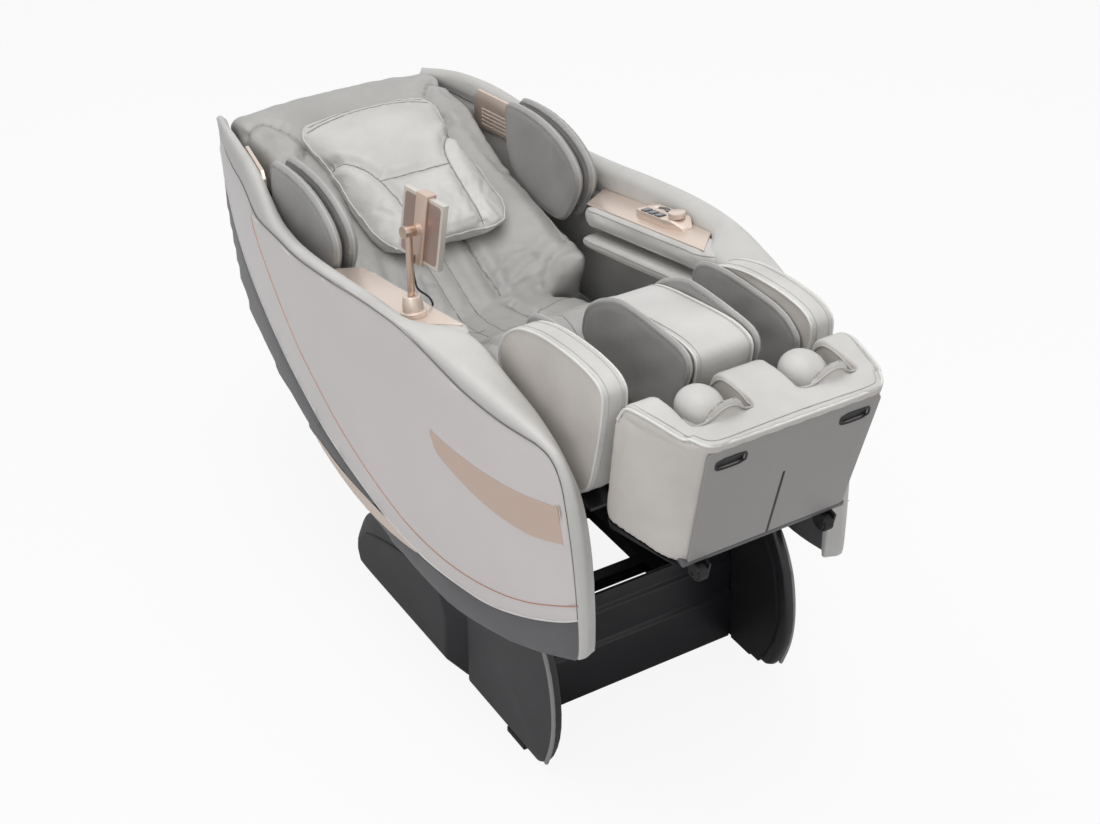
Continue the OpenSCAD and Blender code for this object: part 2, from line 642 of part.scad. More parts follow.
// The strip by which the shell wraps round the wall's front end
module front_strip(depth) {
    slab(0, body_w, band(side(front_edge_shares), -2 * over, depth));
}
module shell() {
    wall_slice(concat(side(roof_shares), side(border_shares)), 0, shell_t);
    intersection() {
        slab(0, body_w, concat(side(crest_shares), side(lining_shares)));
        difference() {
            inside(body_w / 2 - shell_t + gap, shell_r - shell_t + gap, shell_wide_y);
            inner_space(0);
            wall_slice(skirt_points(), -over, shell_t);
        }
        front_strip(strip_share * shell_l);
    }
}
function skirt_points() = concat(side(border_shares),
    [for (i = [1:len(floor_shares) - 2]) side_at(floor_shares[i])]);
module skirt() {
    wall_slice(skirt_points(), 0, shell_t);
}
arm_box_shares = [[0.239, 0.605], [0.344, 0.509], [0.524, 0.465]];
arm_box_x = arm_x - 8 / 42 * arm_pad_t;
arm_under = -arm_plate_t - arm_pad_t - forearm_gap - forearm_t;
arm_box_ends_shares = [-0.118, 0.988];
module wall_pad() {
    difference() {
        intersection() {
            slab(0, body_w, concat(side(crest_shares), side(lining_shares)));
            difference() {
                inside(body_w / 2 - shell_t - gap, shell_r - shell_t - gap, shell_wide_y);
                inner_space(0);
            }
        }
        front_strip(strip_share * shell_l + gap);
    }
    intersection() {
        slab(arm_box_x, body_w / 2, concat([for (s = arm_box_ends_shares) arm_side([s * arm_l, arm_under - gap])],
            back_to_front(side(arm_box_shares))));
        inner_space(-gap);
    }
}
module shell_left() color("#d9d2ca") shell();
module shell_right() color("#d9d2ca") right() shell();
module skirt_left() color("#4c4e50") skirt();
module skirt_right() color("#4c4e50") right() skirt();
module wall_pad_left() color("#8f938f") wall_pad();
module wall_pad_right() color("#8f938f") right() wall_pad();
module shell_trims() color("#c89a7c") both() {
    wall_slice(band(eased(side(stripe_shares), 1), -stripe_w / 2, stripe_w / 2), -trim_t, 0);
    wall_slice(side(plaque_shares), -trim_t, 0);
}
module back_hull() color("#3a3c3e") intersection() {
    slab(-inner_w / 2, inner_w / 2, band(side(hull_shares), 0, hull_t));
    inner_space(gap);
    right()
        inner_space(gap);
}

// ---------- cushions ----------
back_stations_shares = [0.006, 0.022, 0.060, 0.110, 0.170, 0.250, 0.330, 0.400, 0.490, 0.560, 0.612, 0.670, 0.722,
    0.780, 0.820, 0.880, 0.930, 0.965, 0.985, 0.994];
back_centre_shares = [[0, -0.08], [0.072, -0.04], [0.235, 0.09], [0.367, 0.12], [0.487, 0.18], [0.607, 0.19],
    [0.722, 0.120], [0.815, 0.030], [0.927, 0.050], [0.965, -0.110], [0.985, -0.400], [0.994, -0.700]];
back_edge_shares = [[0, 0.600], [0.006, 0.780], [0.022, 0.960], [0.099, 0.760], [0.158, 0.645], [0.251, 0.566],
    [0.377, 0.410], [0.490, 0.276], [0.612, 0.330], [0.722, 0.487], [0.820, 0.210], [0.930, -0.050],
    [0.965, -0.250], [0.985, -0.520], [0.994, -0.720]];
cushion_q_share = 0.16;
module back_cushion() color("#a3a7a3") back_frame() {
    loft([for (s = back_stations_shares) let (y = hip[0] + s * back_l * cos(back_tilt) + back_d * sin(back_tilt))
        ring(s * back_l, min(back_w / 2, wall_x(y) - 2 * gap), -back_d, lookup(s, back_centre_shares) * back_d,
        lookup(s, back_edge_shares) * back_d, cushion_q_share * back_d)]);
}
seat_top_shares = [[0.2509, 0.824], [0.2570, 0.852], [0.2690, 0.862], [0.2820, 0.860], [0.3000, 0.835],
    [0.3250, 0.789], [0.3500, 0.735], [0.3750, 0.675], [0.4050, 0.618], [0.4370, 0.573], [0.4930, 0.535],
    [0.5106, 0.538], [0.5150, 0.524]];
seat_edge_share = 0.12;
module seat_cushion() color("#9da19d") {
    loft([for (s = seat_top_shares) let (p = side_at(s), low = lookup(s[0], seat_under_shares) * shell_h + shell_low + gap)
        ring(p[0], seat_w / 2, low + gap, p[1], p[1] - seat_edge_share * seat_t, cushion_q_share * seat_t)]);
}
pillow_y_share = 0.309;
pillow_z_share = 0.233;
pillow_outline_shares = [[0, 0.30], [0.02, 0.42], [0.07, 0.48], [0.12, 0.50], [0.30, 0.50], [0.45, 0.485],
    [0.60, 0.47], [0.75, 0.485], [0.88, 0.49], [0.94, 0.46], [0.97, 0.43], [1, 0.28]];
pillow_depth_shares = [[0, 0.34], [0.02, 0.56], [0.07, 0.78], [0.12, 0.90], [0.30, 1], [0.45, 0.97], [0.60, 1],
    [0.75, 0.97], [0.88, 0.86], [0.94, 0.70], [0.97, 0.56], [1, 0.30]];
pillow_edge_share = 0.30;
module head_pillow() color("#a9ada9") back_frame() {
    loft([for (s = pillow_outline_shares) let (d = lookup(s[0], pillow_depth_shares) * pillow_t,
        mid = pillow_z_share * back_d + pillow_t / 2)
        ring(pillow_y_share * back_l + s[0] * pillow_l, s[1] * pillow_w, mid - d / 2, mid + d / 2,
            mid + d / 2 - pillow_edge_share * d, pillow_edge_share * d)]);
}

// ---------- shoulders and speakers ----------
shoulder_at = side_at([0.5509, 0.6696]);
shoulder_shares = [[0.025, 0.60], [0.06, 0.72], [0.14, 0.83], [0.33, 0.95], [0.60, 1], [0.93, 0.96], [0.99, 0.90],
    [1, 0.80], [0.99, 0.45], [0.90, 0.20], [0.76, 0.08], [0.60, 0.02], [0.30, 0], [0.21, 0.08], [0.14, 0.20],
    [0.055, 0.40]];
function shoulder(shares) = [for (s = shares) shoulder_at + [s[0] * shoulder_l, s[1] * shoulder_h]];
shoulder_outer_x = back_w / 2 + 2.08 * shoulder_t;
shoulder_inner_x = back_w / 2 + 0.625 * shoulder_t;
shoulder_boss_shares = [0.55, 0.45];
hinge_boss_shares = [[0.25, 0.22], [0.62, 0.24]];
module shoulder_outer() {
    side_leaf(shoulder(shoulder_shares), shoulder_outer_x, shoulder_t, leaf_shares);
    boss_at = shoulder([shoulder_boss_shares])[0];
    barrel(shoulder_outer_x + shoulder_t / 4, wall_x(boss_at[0] + shoulder_t) - gap, boss_at, shoulder_t);
    for (p = shoulder(hinge_boss_shares))
        barrel(shoulder_inner_x + 0.47 * shoulder_t + gap, shoulder_outer_x, p, shoulder_t / 3);
}
module shoulder_outer_left() color("#7d817d") shoulder_outer();
module shoulder_outer_right() color("#7d817d") right() shoulder_outer();
module shoulder_inner_left() color("#858985") side_leaf(shoulder(shoulder_shares), shoulder_inner_x, shoulder_t,
    leaf_shares);
module shoulder_inner_right() color("#858985") right() side_leaf(shoulder(shoulder_shares), shoulder_inner_x,
    shoulder_t, leaf_shares);
speaker_at = side_at([0.810, 0.8655]);
speaker_t = speaker_h / 11;
speaker_turn = asin((speaker_at[0] - inner_wide_y) / inner_r);
speaker_shares = [[-0.50, -0.30], [-0.42, -0.50], [0.40, -0.50], [0.50, -0.34], [0.50, 0.26], [0.40, 0.50],
    [-0.40, 0.50], [-0.50, 0.34]];
speaker_slots = 5;
module speakers() color("#c89a7c") both() {
    translate([wall_x(speaker_at[0]) - speaker_t / 8, speaker_at[0], speaker_at[1]])
        rotate([0, 0, speaker_turn])
            difference() {
                slab(-speaker_t, -gap, [for (s = speaker_shares) [s[0] * speaker_l, s[1] * speaker_h]]);
                for (i = [0:speaker_slots - 1])
                    slab(-speaker_t - over, -0.6 * speaker_t, [for (s = [[-0.32, 0], [0.32, 0], [0.32, 0.05],
                        [-0.32, 0.05]]) [s[0] * speaker_l, (s[1] - 0.36 + 0.1 * i) * speaker_h]]);
            }
}

// ---------- armrests ----------
module arm_frame() {
    translate([0, arm_at[0], arm_at[1]])
        rotate([-arm_tilt, 0, 0])
            children();
}
// Furthest place out for a piece of the armrest that stops at the wall
function arm_edge(y) = min(wall_x(arm_at[0] + y * cos(arm_tilt)),
    wall_x(arm_at[0] + y * cos(arm_tilt) - 2 * arm_pad_t * sin(arm_tilt))) - gap;
arm_plate_shares = [[0, 0], [0.198, 0.174], [0.205, 0.440], [0.205, 0.700], [0.190, 0.950], [0.179, 1.136],
    [-0.005, 1]];
module arm_plate() {
    arm_frame()
        translate([0, 0, -arm_plate_t])
            linear_extrude(arm_plate_t)
                polygon([for (s = arm_plate_shares) [min(arm_x + s[0] * arm_l, arm_edge(s[1] * arm_l)), s[1] * arm_l]]);
}
module arm_plate_left() color("#cfa184") arm_plate();
module arm_plate_right() color("#cfa184") right() arm_plate();
arm_pad_in_shares = [[0.120, -0.130], [0.060, -0.118], [0, -0.075], [-0.035, 0.020], [-0.038, 0.500], [-0.038, 0.960],
    [-0.020, 1.010]];
arm_pad_out_shares = [1.012, 0.850, 0.650, 0.450, 0.250, 0.060, -0.115];
module arm_cushion(depth, t, inner_shares, outer_shares, out) {
    arm_frame()
        translate([0, 0, -depth - t / 2])
            loft(leaf_rings(concat([for (s = inner_shares) [arm_x + s[0] * arm_l, s[1] * arm_l]],
                [for (s = outer_shares) [arm_edge(s * arm_l) - out, s * arm_l]]), t, pad_shares));
}
module arm_pad_left() color("#9a9e9a") arm_cushion(arm_plate_t + gap, arm_pad_t - 2 * gap, arm_pad_in_shares,
    arm_pad_out_shares, 0);
module arm_pad_right() color("#9a9e9a") right() arm_cushion(arm_plate_t + gap, arm_pad_t - 2 * gap,
    arm_pad_in_shares, arm_pad_out_shares, 0);
forearm_in_shares = [[0.090, -0.020], [0.010, 0.000], [-0.045, 0.050], [-0.070, 0.140], [-0.070, 0.500],
    [-0.070, 0.900], [-0.060, 0.990], [-0.020, 1.010]];
forearm_out_shares = [1.010, 0.850, 0.650, 0.450, 0.250, 0.060, -0.018];
forearm_depth = arm_plate_t + arm_pad_t + forearm_gap;
module forearm_pad_left() color("#9a9e9a") arm_cushion(forearm_depth, forearm_t - gap, forearm_in_shares,
    forearm_out_shares, gap);
module forearm_pad_right() color("#9a9e9a") right() arm_cushion(forearm_depth, forearm_t - gap,
    forearm_in_shares, forearm_out_shares, gap);

// ---------- keypad ----------
keypad_x = arm_x + 0.385 * keypad_w;
keypad_y = 0.285 * arm_l;
keypad_side_shares = [[0, 0], [0.02, 0.30], [0.20, 1], [0.94, 1], [1, 0.55], [1, 0]];
keypad_plan_shares = [[0.28, 0], [0.72, 0], [1, 0.16], [1, 0.88], [0.86, 1], [0.14, 1], [0, 0.88], [0, 0.30]];
key_place_shares = [[0.235, 0.785], [0.235, 0.630], [0.235, 0.475]];
key_clear = gap;
key_h = keypad_h * 0.42;
key_proud = keypad_h * 0.12;
dial_shares = [0.53, 0.235];
arch_shares = [0.30, 0.640];
module keypad() color("#cfa184") arm_frame() translate([keypad_x, keypad_y, 0]) difference() {
    intersection() {
        slab(0, keypad_w, [for (s = keypad_side_shares) [s[0] * keypad_l, s[1] * keypad_h]]);
        linear_extrude(keypad_h)
            polygon([for (s = keypad_plan_shares) [s[0] * keypad_w, s[1] * keypad_l]]);
    }
    for (s = key_place_shares)
        translate([s[0] * keypad_w, s[1] * keypad_l, keypad_h])
            block(-key_w / 2 - key_clear, key_w / 2 + key_clear, -key_w / 2 - key_clear, key_w / 2 + key_clear,
                key_proud - key_h - key_travel - gap, over);
    translate([dial_shares[0] * keypad_w, dial_shares[1] * keypad_l, keypad_h / 3])
        cylinder(h = keypad_h, r = dial_r / 4 + fit, $fn = round_fn);
    translate([arch_shares[0] * keypad_w, arch_shares[1] * keypad_l, keypad_h - keypad_h / 12])
        difference() {
            cylinder(h = keypad_h, r = keypad_w * 0.66, $fn = 2 * round_fn);
            cylinder(h = 2 * keypad_h, r = keypad_w * 0.44, $fn = 2 * round_fn);
            block(-keypad_l, keypad_w * 0.30, -keypad_l, keypad_l, -keypad_h, 2 * keypad_h);
        }
}
module key(i) {
    arm_frame()
        translate([keypad_x + key_place_shares[i][0] * keypad_w, keypad_y + key_place_shares[i][1] * keypad_l,
            keypad_h + key_proud - key_h])
            block(-key_w / 2, key_w / 2, -key_w / 2, key_w / 2, 0, key_h);
}
module key_1() color("#27324a") key(0);
module key_2() color("#27324a") key(1);
module key_3() color("#27324a") key(2);
module dial() color("#b98b6b") arm_frame()
    translate([keypad_x + dial_shares[0] * keypad_w, keypad_y + dial_shares[1] * keypad_l, 0]) {
        translate([0, 0, keypad_h / 3 + gap])
            cylinder(h = keypad_h, r = dial_r / 4, $fn = round_fn);
        translate([0, 0, keypad_h + gap])
            cylinder(h = dial_h, r = dial_r, $fn = 2 * round_fn);
    }

// ---------- tablet ----------
post_x = arm_x + 6.57 * post_r;
post_share = 0.247;
socket_h = 5.7 * post_r;
socket_foot = turned(arm_at, -arm_tilt, [post_share * arm_l, 0]);
socket_top = turned(arm_at, -arm_tilt, [post_share * arm_l, socket_h]);
post_y = socket_top[0];
knuckle_z = socket_foot[1] + post_h + tablet_t / 2;
knuckle_r = 1.55 * post_r;
knuckle_half = 1.9 * post_r;
tablet_turn = 10;
tablet_tilt = 8.7;
module tablet_frame() {
    translate([-post_x, post_y, knuckle_z])
        rotate([0, tablet_tilt, tablet_turn])
            children();
}
module tablet_socket() color("#b98b6b") difference() {
    arm_frame()
        translate([-post_x, post_share * arm_l, 0]) {
            cylinder(h = socket_h / 4, r = 3.5 * post_r, $fn = 2 * round_fn);
            rotate_extrude($fn = 2 * round_fn)
                polygon([for (s = [[0, 0.2], [0.80, 0.2], [0.80, 0.5], [0.66, 1], [0, 1]]) [s[0] * 3.5 * post_r,
                    s[1] * socket_h]]);
        }
    translate([-post_x, post_y, socket_foot[1] + 0.35 * socket_h])
        cylinder(h = post_h, r = post_r + fit, $fn = round_fn);
}
module tablet_post() color("#c59673") difference() {
    union() {
        translate([-post_x, post_y, socket_foot[1] + 0.35 * socket_h + gap])
            cylinder(h = knuckle_z - socket_foot[1] - 0.35 * socket_h - gap, r = post_r, $fn = round_fn);
        tablet_frame()
            rotate([0, 90, 0])
                translate([0, 0, -knuckle_half])
                    cylinder(h = 1.9 * knuckle_half, r = knuckle_r, $fn = round_fn);
    }
    tablet_frame()
        rotate([0, 90, 0])
            translate([0, 0, -0.5 * knuckle_half])
                cylinder(h = 2 * knuckle_half, r = post_r * 0.7 + fit, $fn = round_fn);
}
clamp_x = 1.72 * knuckle_half;
clamp_t = tablet_t * 0.42;
clamp_w = tablet_w * 0.27;
tablet_x = clamp_x + clamp_t + gap;
module tablet_clamp() color("#cfa184") tablet_frame() {
    rotate([0, 90, 0]) {
        translate([0, 0, -0.5 * knuckle_half + gap])
            cylinder(h = clamp_x + 0.5 * knuckle_half, r = post_r * 0.7, $fn = round_fn);
        translate([0, 0, 0.9 * knuckle_half + gap])
            cylinder(h = clamp_x - 0.9 * knuckle_half, r = knuckle_r * 0.92, $fn = round_fn);
    }
    block(clamp_x, clamp_x + clamp_t, -clamp_w / 2, clamp_w / 2, -tablet_h / 2 - clamp_t, tablet_h / 2 + clamp_t);
    for (m = [0, 1])
        mirror([0, 0, m]) {
            block(clamp_x, tablet_x + tablet_t + gap + clamp_t, -clamp_w / 2, clamp_w / 2, tablet_h / 2 + gap,
                tablet_h / 2 + gap + clamp_t);
            block(tablet_x + tablet_t + gap, tablet_x + tablet_t + gap + clamp_t, -clamp_w / 2, clamp_w / 2,
                tablet_h / 2 - clamp_t, tablet_h / 2 + gap + clamp_t);
        }
}
plug_shares = [0.36, -0.5];
module tablet() color("#3a3236") tablet_frame() {
    block(tablet_x, tablet_x + tablet_t, -tablet_w / 2, tablet_w / 2, -tablet_h / 2, tablet_h / 2);
    translate([tablet_x + tablet_t / 2, -plug_shares[0] * tablet_w, plug_shares[1] * tablet_h - 1.5 * lead_d])
        cylinder(h = 1.5 * lead_d + gap, r = 0.8 * lead_d, $fn = round_fn);
}
// The lead's route, from the clip on the clamp down to the armrest cushion
lead_points = [[-302, -139, 943], [-302, -140, 939], [-303, -141, 930], [-303, -141, 920], [-301, -140, 910],
    [-299, -138, 899], [-296, -135, 889], [-292, -130, 877], [-288, -126, 867], [-283, -123, 859],
    [-277, -122, 852], [-270, -124, 846], [-264, -127, 839], [-261, -129, 833], [-259, -130, 827],
    [-259, -130, 821]];
lead_sides = 8;
// A tube swept along points, its rings turned from the first by each bend
module sweep(p, r, sides) {
    n = len(p);
    dir = [for (i = [0:n - 1]) unit(p[min(i + 1, n - 1)] - p[max(i - 1, 0)])];
    u = [for (i = 0, v = unit(cross(dir[0], [0, 1, 0])); i < n; i = i + 1,
        v = i < n ? unit(v - dir[i] * (v * dir[i])) : v) v];
    loft([for (i = [0:n - 1]) [for (k = [0:sides - 1]) let (a = 360 * k / sides)
        p[i] + r * (cos(a) * u[i] + sin(a) * cross(dir[i], u[i]))]]);
}
module tablet_lead() color("#161616") sweep(lead_points, lead_d / 2, lead_sides);

// ---------- massage unit ----------
carriage_share = 0.392;
shaft_up = 1.235 * knead_r;
flange_t = plate_t / 2;
shaft_r = screw_r;
wheel_shares = [0.643, 1.429];
module massage_frame() {
    back_frame()
        translate([0, carriage_share * back_l, mech_z])
            children();
}
module massage_carriage() color("#46494c") massage_frame() difference() {
    union() {
        block(-track_x - 1.4 * plate_t, track_x + 1.4 * plate_t, 0, carriage_l, gap, flange_t);
        block(-track_x + gap, track_x - gap, 0, carriage_l, -0.8 * track_h, flange_t);
        both()
            for (x = [0.21 * track_x, 0.93 * track_x])
                slab(x, x + plate_t, [[carriage_l * 0.15, flange_t - gap], [carriage_l * 0.35, shaft_up + shaft_r * 1.6],
                    [carriage_l * 0.65, shaft_up + shaft_r * 1.6], [carriage_l * 0.85, flange_t - gap]]);
    }
    translate([0, 0, -track_h / 2])
        rod(-over, carriage_l + over, screw_r + fit);
    barrel(-track_x * 2, track_x * 2, [carriage_l / 2, shaft_up], shaft_r + fit);
}
module kneading_wheels() color("#6a6d70") massage_frame() {
    far = track_x * wheel_shares[1] + knead_w / 2;
    barrel(-far, far, [carriage_l / 2, shaft_up], shaft_r);
    both()
        for (s = wheel_shares)
            barrel(track_x * s - knead_w / 2, track_x * s + knead_w / 2, [carriage_l / 2, shaft_up], knead_r);
}

// ---------- leg rest ----------
module leg_space() {
    translate([0, knee[0], knee[1]])
        rotate([leg_tilt, 0, 0])
            children();
}
function leg(shares) = [for (s = shares) leg_at(s)];
board_top = 0.08 * calf_h;
board_t = 0.8 * plate_t;
ear_r = 2.4 * knee_r;
ear_w = 1.2 * plate_t;
ear_out = frame_w / 2 - 1.4 * plate_t;
slide_x = slide_r * 16.7;
slide_z = slide_r * 0.45;
sleeve_r = slide_r * 1.56;
sleeve_to = 0.879 * calf_l;
sleeve_from = sleeve_to - foot_travel - 8.9 * slide_r;
module leg_frame() color("#2b2b2e") leg_space() difference() {
    union() {
        block(-ear_out, ear_out, -0.909 * calf_l, 0.030 * calf_l, board_top - board_t, board_top);
        both() {
            barrel(ear_out - ear_w, ear_out, [0, 0], ear_r);
            barrel(ear_out - gap, frame_w / 2 + 0.2 * plate_t, [0, 0], knee_r);
            slab(eye_x, eye_x + ear_t, [lift_lug + [eye_r, 0], [lift_lug[0] + eye_r, board_top - board_t / 2],
                [lift_lug[0] - eye_r, board_top - board_t / 2], lift_lug + [-eye_r, 0]]);
            barrel(eye_x, eye_x + ear_t, lift_lug, eye_r);
            translate([slide_x, 0, slide_z])
                rod(-sleeve_to, -sleeve_from, sleeve_r);
        }
        barrel(-eye_x - ear_t, eye_x + ear_t, lift_lug, head_pin_r);
    }
    both()
        translate([slide_x, 0, slide_z])
            rod(-sleeve_to - over, -sleeve_from + over, slide_r + fit);
}
calf_shares = [[-0.082, 0.395], [-0.070, 0.490], [-0.045, 0.576], [0.015, 0.670], [0.090, 0.750], [0.270, 0.862],
    [0.450, 0.930], [0.594, 0.974], [0.720, 0.997], [0.797, 1], [0.855, 0.980], [0.890, 0.938], [0.909, 0.790],
    [0.918, 0.526], [0.909, 0.263], [0.855, 0.160], [0.779, 0.080], [0.364, 0.080], [0.200, 0.110], [0.061, 0.197],
    [-0.040, 0.300]];
calf_x = calf_w / 2 - calf_t / 2;
function lifted(p, floor_z) = [for (v = p) [v[0], max(v[1], floor_z)]];
module calf_block() {
    leg_space()
        side_leaf(lifted(leg(calf_shares), board_top + gap), calf_x, calf_t, pad_shares);
}
module calf_block_left() color("#b4b2ae") calf_block();
module calf_block_right() color("#b4b2ae") right() calf_block();
centre_shares = [[-0.030, 0.424], [-0.026, 0.560], [0, 0.650], [0.052, 0.716], [0.200, 0.802], [0.382, 0.882],
    [0.560, 0.960], [0.724, 1.022], [0.850, 1.036], [0.893, 1.010], [0.915, 0.940], [0.918, 0.526],
    [0.909, 0.263], [0.855, 0.160], [0.794, 0.080], [0.364, 0.080], [0.200, 0.110], [0.061, 0.230]];
module calf_centre_block() color("#b4b2ae") leg_space()
    side_leaf(lifted(leg(centre_shares), board_top + gap), 0, centre_w, pad_shares);
inner_leaf_shares = [[-0.030, 0.424], [-0.034, 0.520], [-0.025, 0.615], [0.064, 0.750], [0.230, 0.901],
    [0.370, 0.950], [0.521, 0.990], [0.700, 1.030], [0.809, 1.049], [0.880, 1.030], [0.915, 0.964],
    [0.905, 0.860], [0.890, 0.700], [0.860, 0.480], [0.790, 0.345], [0.450, 0.330], [0.180, 0.345], [0.030, 0.370]];
outer_leaf_shares = [[-0.094, 0.566], [-0.060, 0.650], [0.030, 0.724], [0.160, 0.780], [0.300, 0.822],
    [0.450, 0.862], [0.603, 0.898], [0.700, 0.902], [0.761, 0.888], [0.820, 0.860], [0.851, 0.829], [0.870, 0.700],
    [0.864, 0.560], [0.818, 0.380], [0.500, 0.330], [0.160, 0.340], [-0.020, 0.400], [-0.075, 0.470]];
well_floor_shares = [0.080, 0.130, 0.300, 0.500, 0.700, 0.840, 0.900];
well_floor_top_share = 0.30;
inner_leaf_x = centre_w / 2 + gap + leaf_t / 2;
outer_leaf_x = calf_w / 2 - calf_t - gap - leaf_t / 2;
module calf_leaves() color("#7f837f") leg_space() both() {
    side_leaf(leg(inner_leaf_shares), inner_leaf_x, leaf_t, leaf_shares);
    side_leaf(leg(outer_leaf_shares), outer_leaf_x, leaf_t, leaf_shares);
    translate([(inner_leaf_x + outer_leaf_x) / 2, 0, 0])
        loft([for (i = [len(well_floor_shares) - 1:-1:0]) let (s = well_floor_shares[i],
            sink = (i == 0 || i == len(well_floor_shares) - 1) ? 0.7 : 1, top = well_floor_top_share * calf_h * sink)
            ring(-s * calf_l, (outer_leaf_x - inner_leaf_x - leaf_t) / 2 - gap, board_top + gap,
                top * 0.8, top, leaf_t / 2)]);
}

// ---------- foot rest ----------
function foot_at(s) = [-s[0] * sole_s, s[1] * foot_top];
function foot(shares) = [for (s = shares) foot_at(s)];
sole_in = sole_s - sole_t;
sole_low = 0.135 * foot_top;
sole_low_w = 0.904 * sole_w;
foot_rear = 0.631 * sole_s;
foot_rear_shares = [[0.673, 0.176], [0.631, 0.706], [0.639, 0.790], [0.675, 0.810], [0.720, 0.820], [0.720, 0.100]];
well_x = 0.877 * well_w;
well_front = 0.884 * sole_s;
well_floor = 0.324 * foot_top;
slot_x = 0.318 * sole_w;
slot_z = 0.850 * foot_top;
slot_w = 0.146 * sole_w;
slot_h = 0.059 * foot_top;
slot_d = 1.5 * sole_t;
roller_s = 0.914 * sole_s;
roller_z = 0.397 * foot_top;
roller_half = 0.43 * well_w;
foot_shaft_r = eye_pin_r;
caster_s = sole_s + 0.125 * caster_r;
caster_z = 1.5 * caster_r;
caster_x = 0.338 * sole_w;
caster_pin_r = caster_r / 4;
slide_end = 0.672 * sole_s;
slide_block_t = 0.048 * sole_s;
// The trapezoid across the foot rest at the sole, between two depths
module sole_section(s0, s1, low, high) {
    translate([0, -s0, 0])
        rotate([90, 0, 0])
            linear_extrude(s1 - s0)
                polygon([[-sole_low_w / 2, low], [sole_low_w / 2, low], [sole_w / 2, high], [-sole_w / 2, high]]);
}
module foot_housing() color("#cfcac3") leg_space() difference() {
    union() {
        hull() {
            slab(-foot_unit_w / 2, foot_unit_w / 2, foot(foot_rear_shares));
            sole_section(sole_in - sole_t / 2, sole_in, sole_low, foot_top - foot_pad_t);
        }
        both()
            translate([slide_x, 0, slide_z])
                rod(-slide_end - slide_block_t, -sleeve_from, slide_r);
        block(-slide_x - 1.7 * slide_r, slide_x + 1.7 * slide_r, -slide_end - slide_block_t, -slide_end,
            slide_z - 1.35 * slide_r, sole_low);
        both()
            for (m = [-1, 1])
                translate([caster_x, 0, 0])
                    slab(m * (caster_w / 2 + caster_w / 6) - caster_w / 9, m * (caster_w / 2 + caster_w / 6)
                        + caster_w / 9, [[-caster_s - caster_r * 0.6, caster_z - caster_r * 0.5],
                        [-caster_s + caster_r * 0.6, caster_z - caster_r * 0.6], [-sole_in + sole_t * 2.4,
                        sole_low + sole_t], [-sole_in + gap, sole_low + sole_t * 1.2], [-sole_in + gap,
                        sole_low - gap], [-caster_s - caster_r * 0.6, sole_low - gap]]);
    }
    both() {
        block(well_x - well_w / 2, well_x + well_w / 2, -well_front, -foot_rear + sole_s, well_floor, 2 * foot_top);
        block(slot_x - slot_w / 2, slot_x + slot_w / 2, -sole_in - over, -sole_in + slot_d, slot_z - slot_h / 2,
            slot_z + slot_h / 2);
        barrel(well_x - roller_half - gap, well_x + roller_half + gap, [-roller_s, roller_z], roller_r + sole_t / 4);
        barrel(well_x - well_w / 2 - sole_t, well_x + well_w / 2 + sole_t, [-roller_s, roller_z],
            foot_shaft_r + fit);
        barrel(caster_x - caster_w, caster_x + caster_w, [-caster_s, caster_z], caster_pin_r + fit);
    }
}
groove_share = 0.56;
module sole_panel() color("#8b8c8c") leg_space() difference() {
    sole_section(sole_in, sole_s, sole_low, foot_top - gap);
    both()
        block(slot_x - slot_w / 2, slot_x + slot_w / 2, -sole_s - over, -sole_in + over, slot_z - slot_h / 2,
            slot_z + slot_h / 2);
    block(-sole_t / 5, sole_t / 5, -sole_s - over, -sole_s + sole_t / 6, sole_low - over, groove_share * foot_top);
}
foot_top_shares = [[0.645, 0.835], [0.655, 0.880], [0.675, 0.910], [0.690, 0.925], [0.730, 0.940], [0.780, 0.955], [0.850, 0.972],
    [0.920, 0.990], [0.960, 0.998], [0.974, 0.985]];
dome_shares = [0.819, 0.975];
dome_wide = 0.38 * well_w;
function foot_half(s) = mix(foot_unit_w / 2, sole_w / 2, max(0, (s - 0.72) / 0.256)) - gap;
function housing_top(s) = mix(0.81, 1 - foot_pad_t / foot_top, min(1, max(0, (s - 0.675) / 0.289))) * foot_top;
module foot_cushion() color("#aeb0ac") leg_space() {
    difference() {
        loft([for (i = [len(foot_top_shares) - 1:-1:0]) let (s = foot_top_shares[i], z = s[1] * foot_top)
            ring(-s[0] * sole_s, foot_half(s[0]), housing_top(s[0]) + gap, z,
                z - 0.12 * foot_pad_t, 0.25 * min(foot_pad_t, z - housing_top(s[0])))]);
        both()
            block(well_x - well_w / 2 - gap, well_x + well_w / 2 + gap, -well_front - gap, sole_s, 0, 2 * foot_top);
    }
    both()
        difference() {
            translate([well_x, -dome_shares[0] * sole_s, dome_shares[1] * foot_top])
                sphere(r = dome_wide, $fn = 24);
            slab(0, sole_w, [[-well_front + gap, 0], [-well_front + gap, housing_top(well_front / sole_s) + gap],
                [-sole_s, housing_top(1) + gap], [-sole_s, 0]]);
        }
}
module foot_rollers() color("#3a3a3c") leg_space() both() {
    barrel(well_x - well_w / 2 - sole_t + gap, well_x + well_w / 2 + sole_t - gap, [-roller_s, roller_z],
        foot_shaft_r);
    barrel(well_x - roller_half, well_x + roller_half, [-roller_s, roller_z], roller_r);
}
module foot_casters() color("#1b1b1d") leg_space() both() {
    barrel(caster_x - caster_w * 0.75, caster_x + caster_w * 0.75, [-caster_s, caster_z], caster_pin_r);
    barrel(caster_x - caster_w / 2, caster_x + caster_w / 2, [-caster_s, caster_z], caster_r);
}

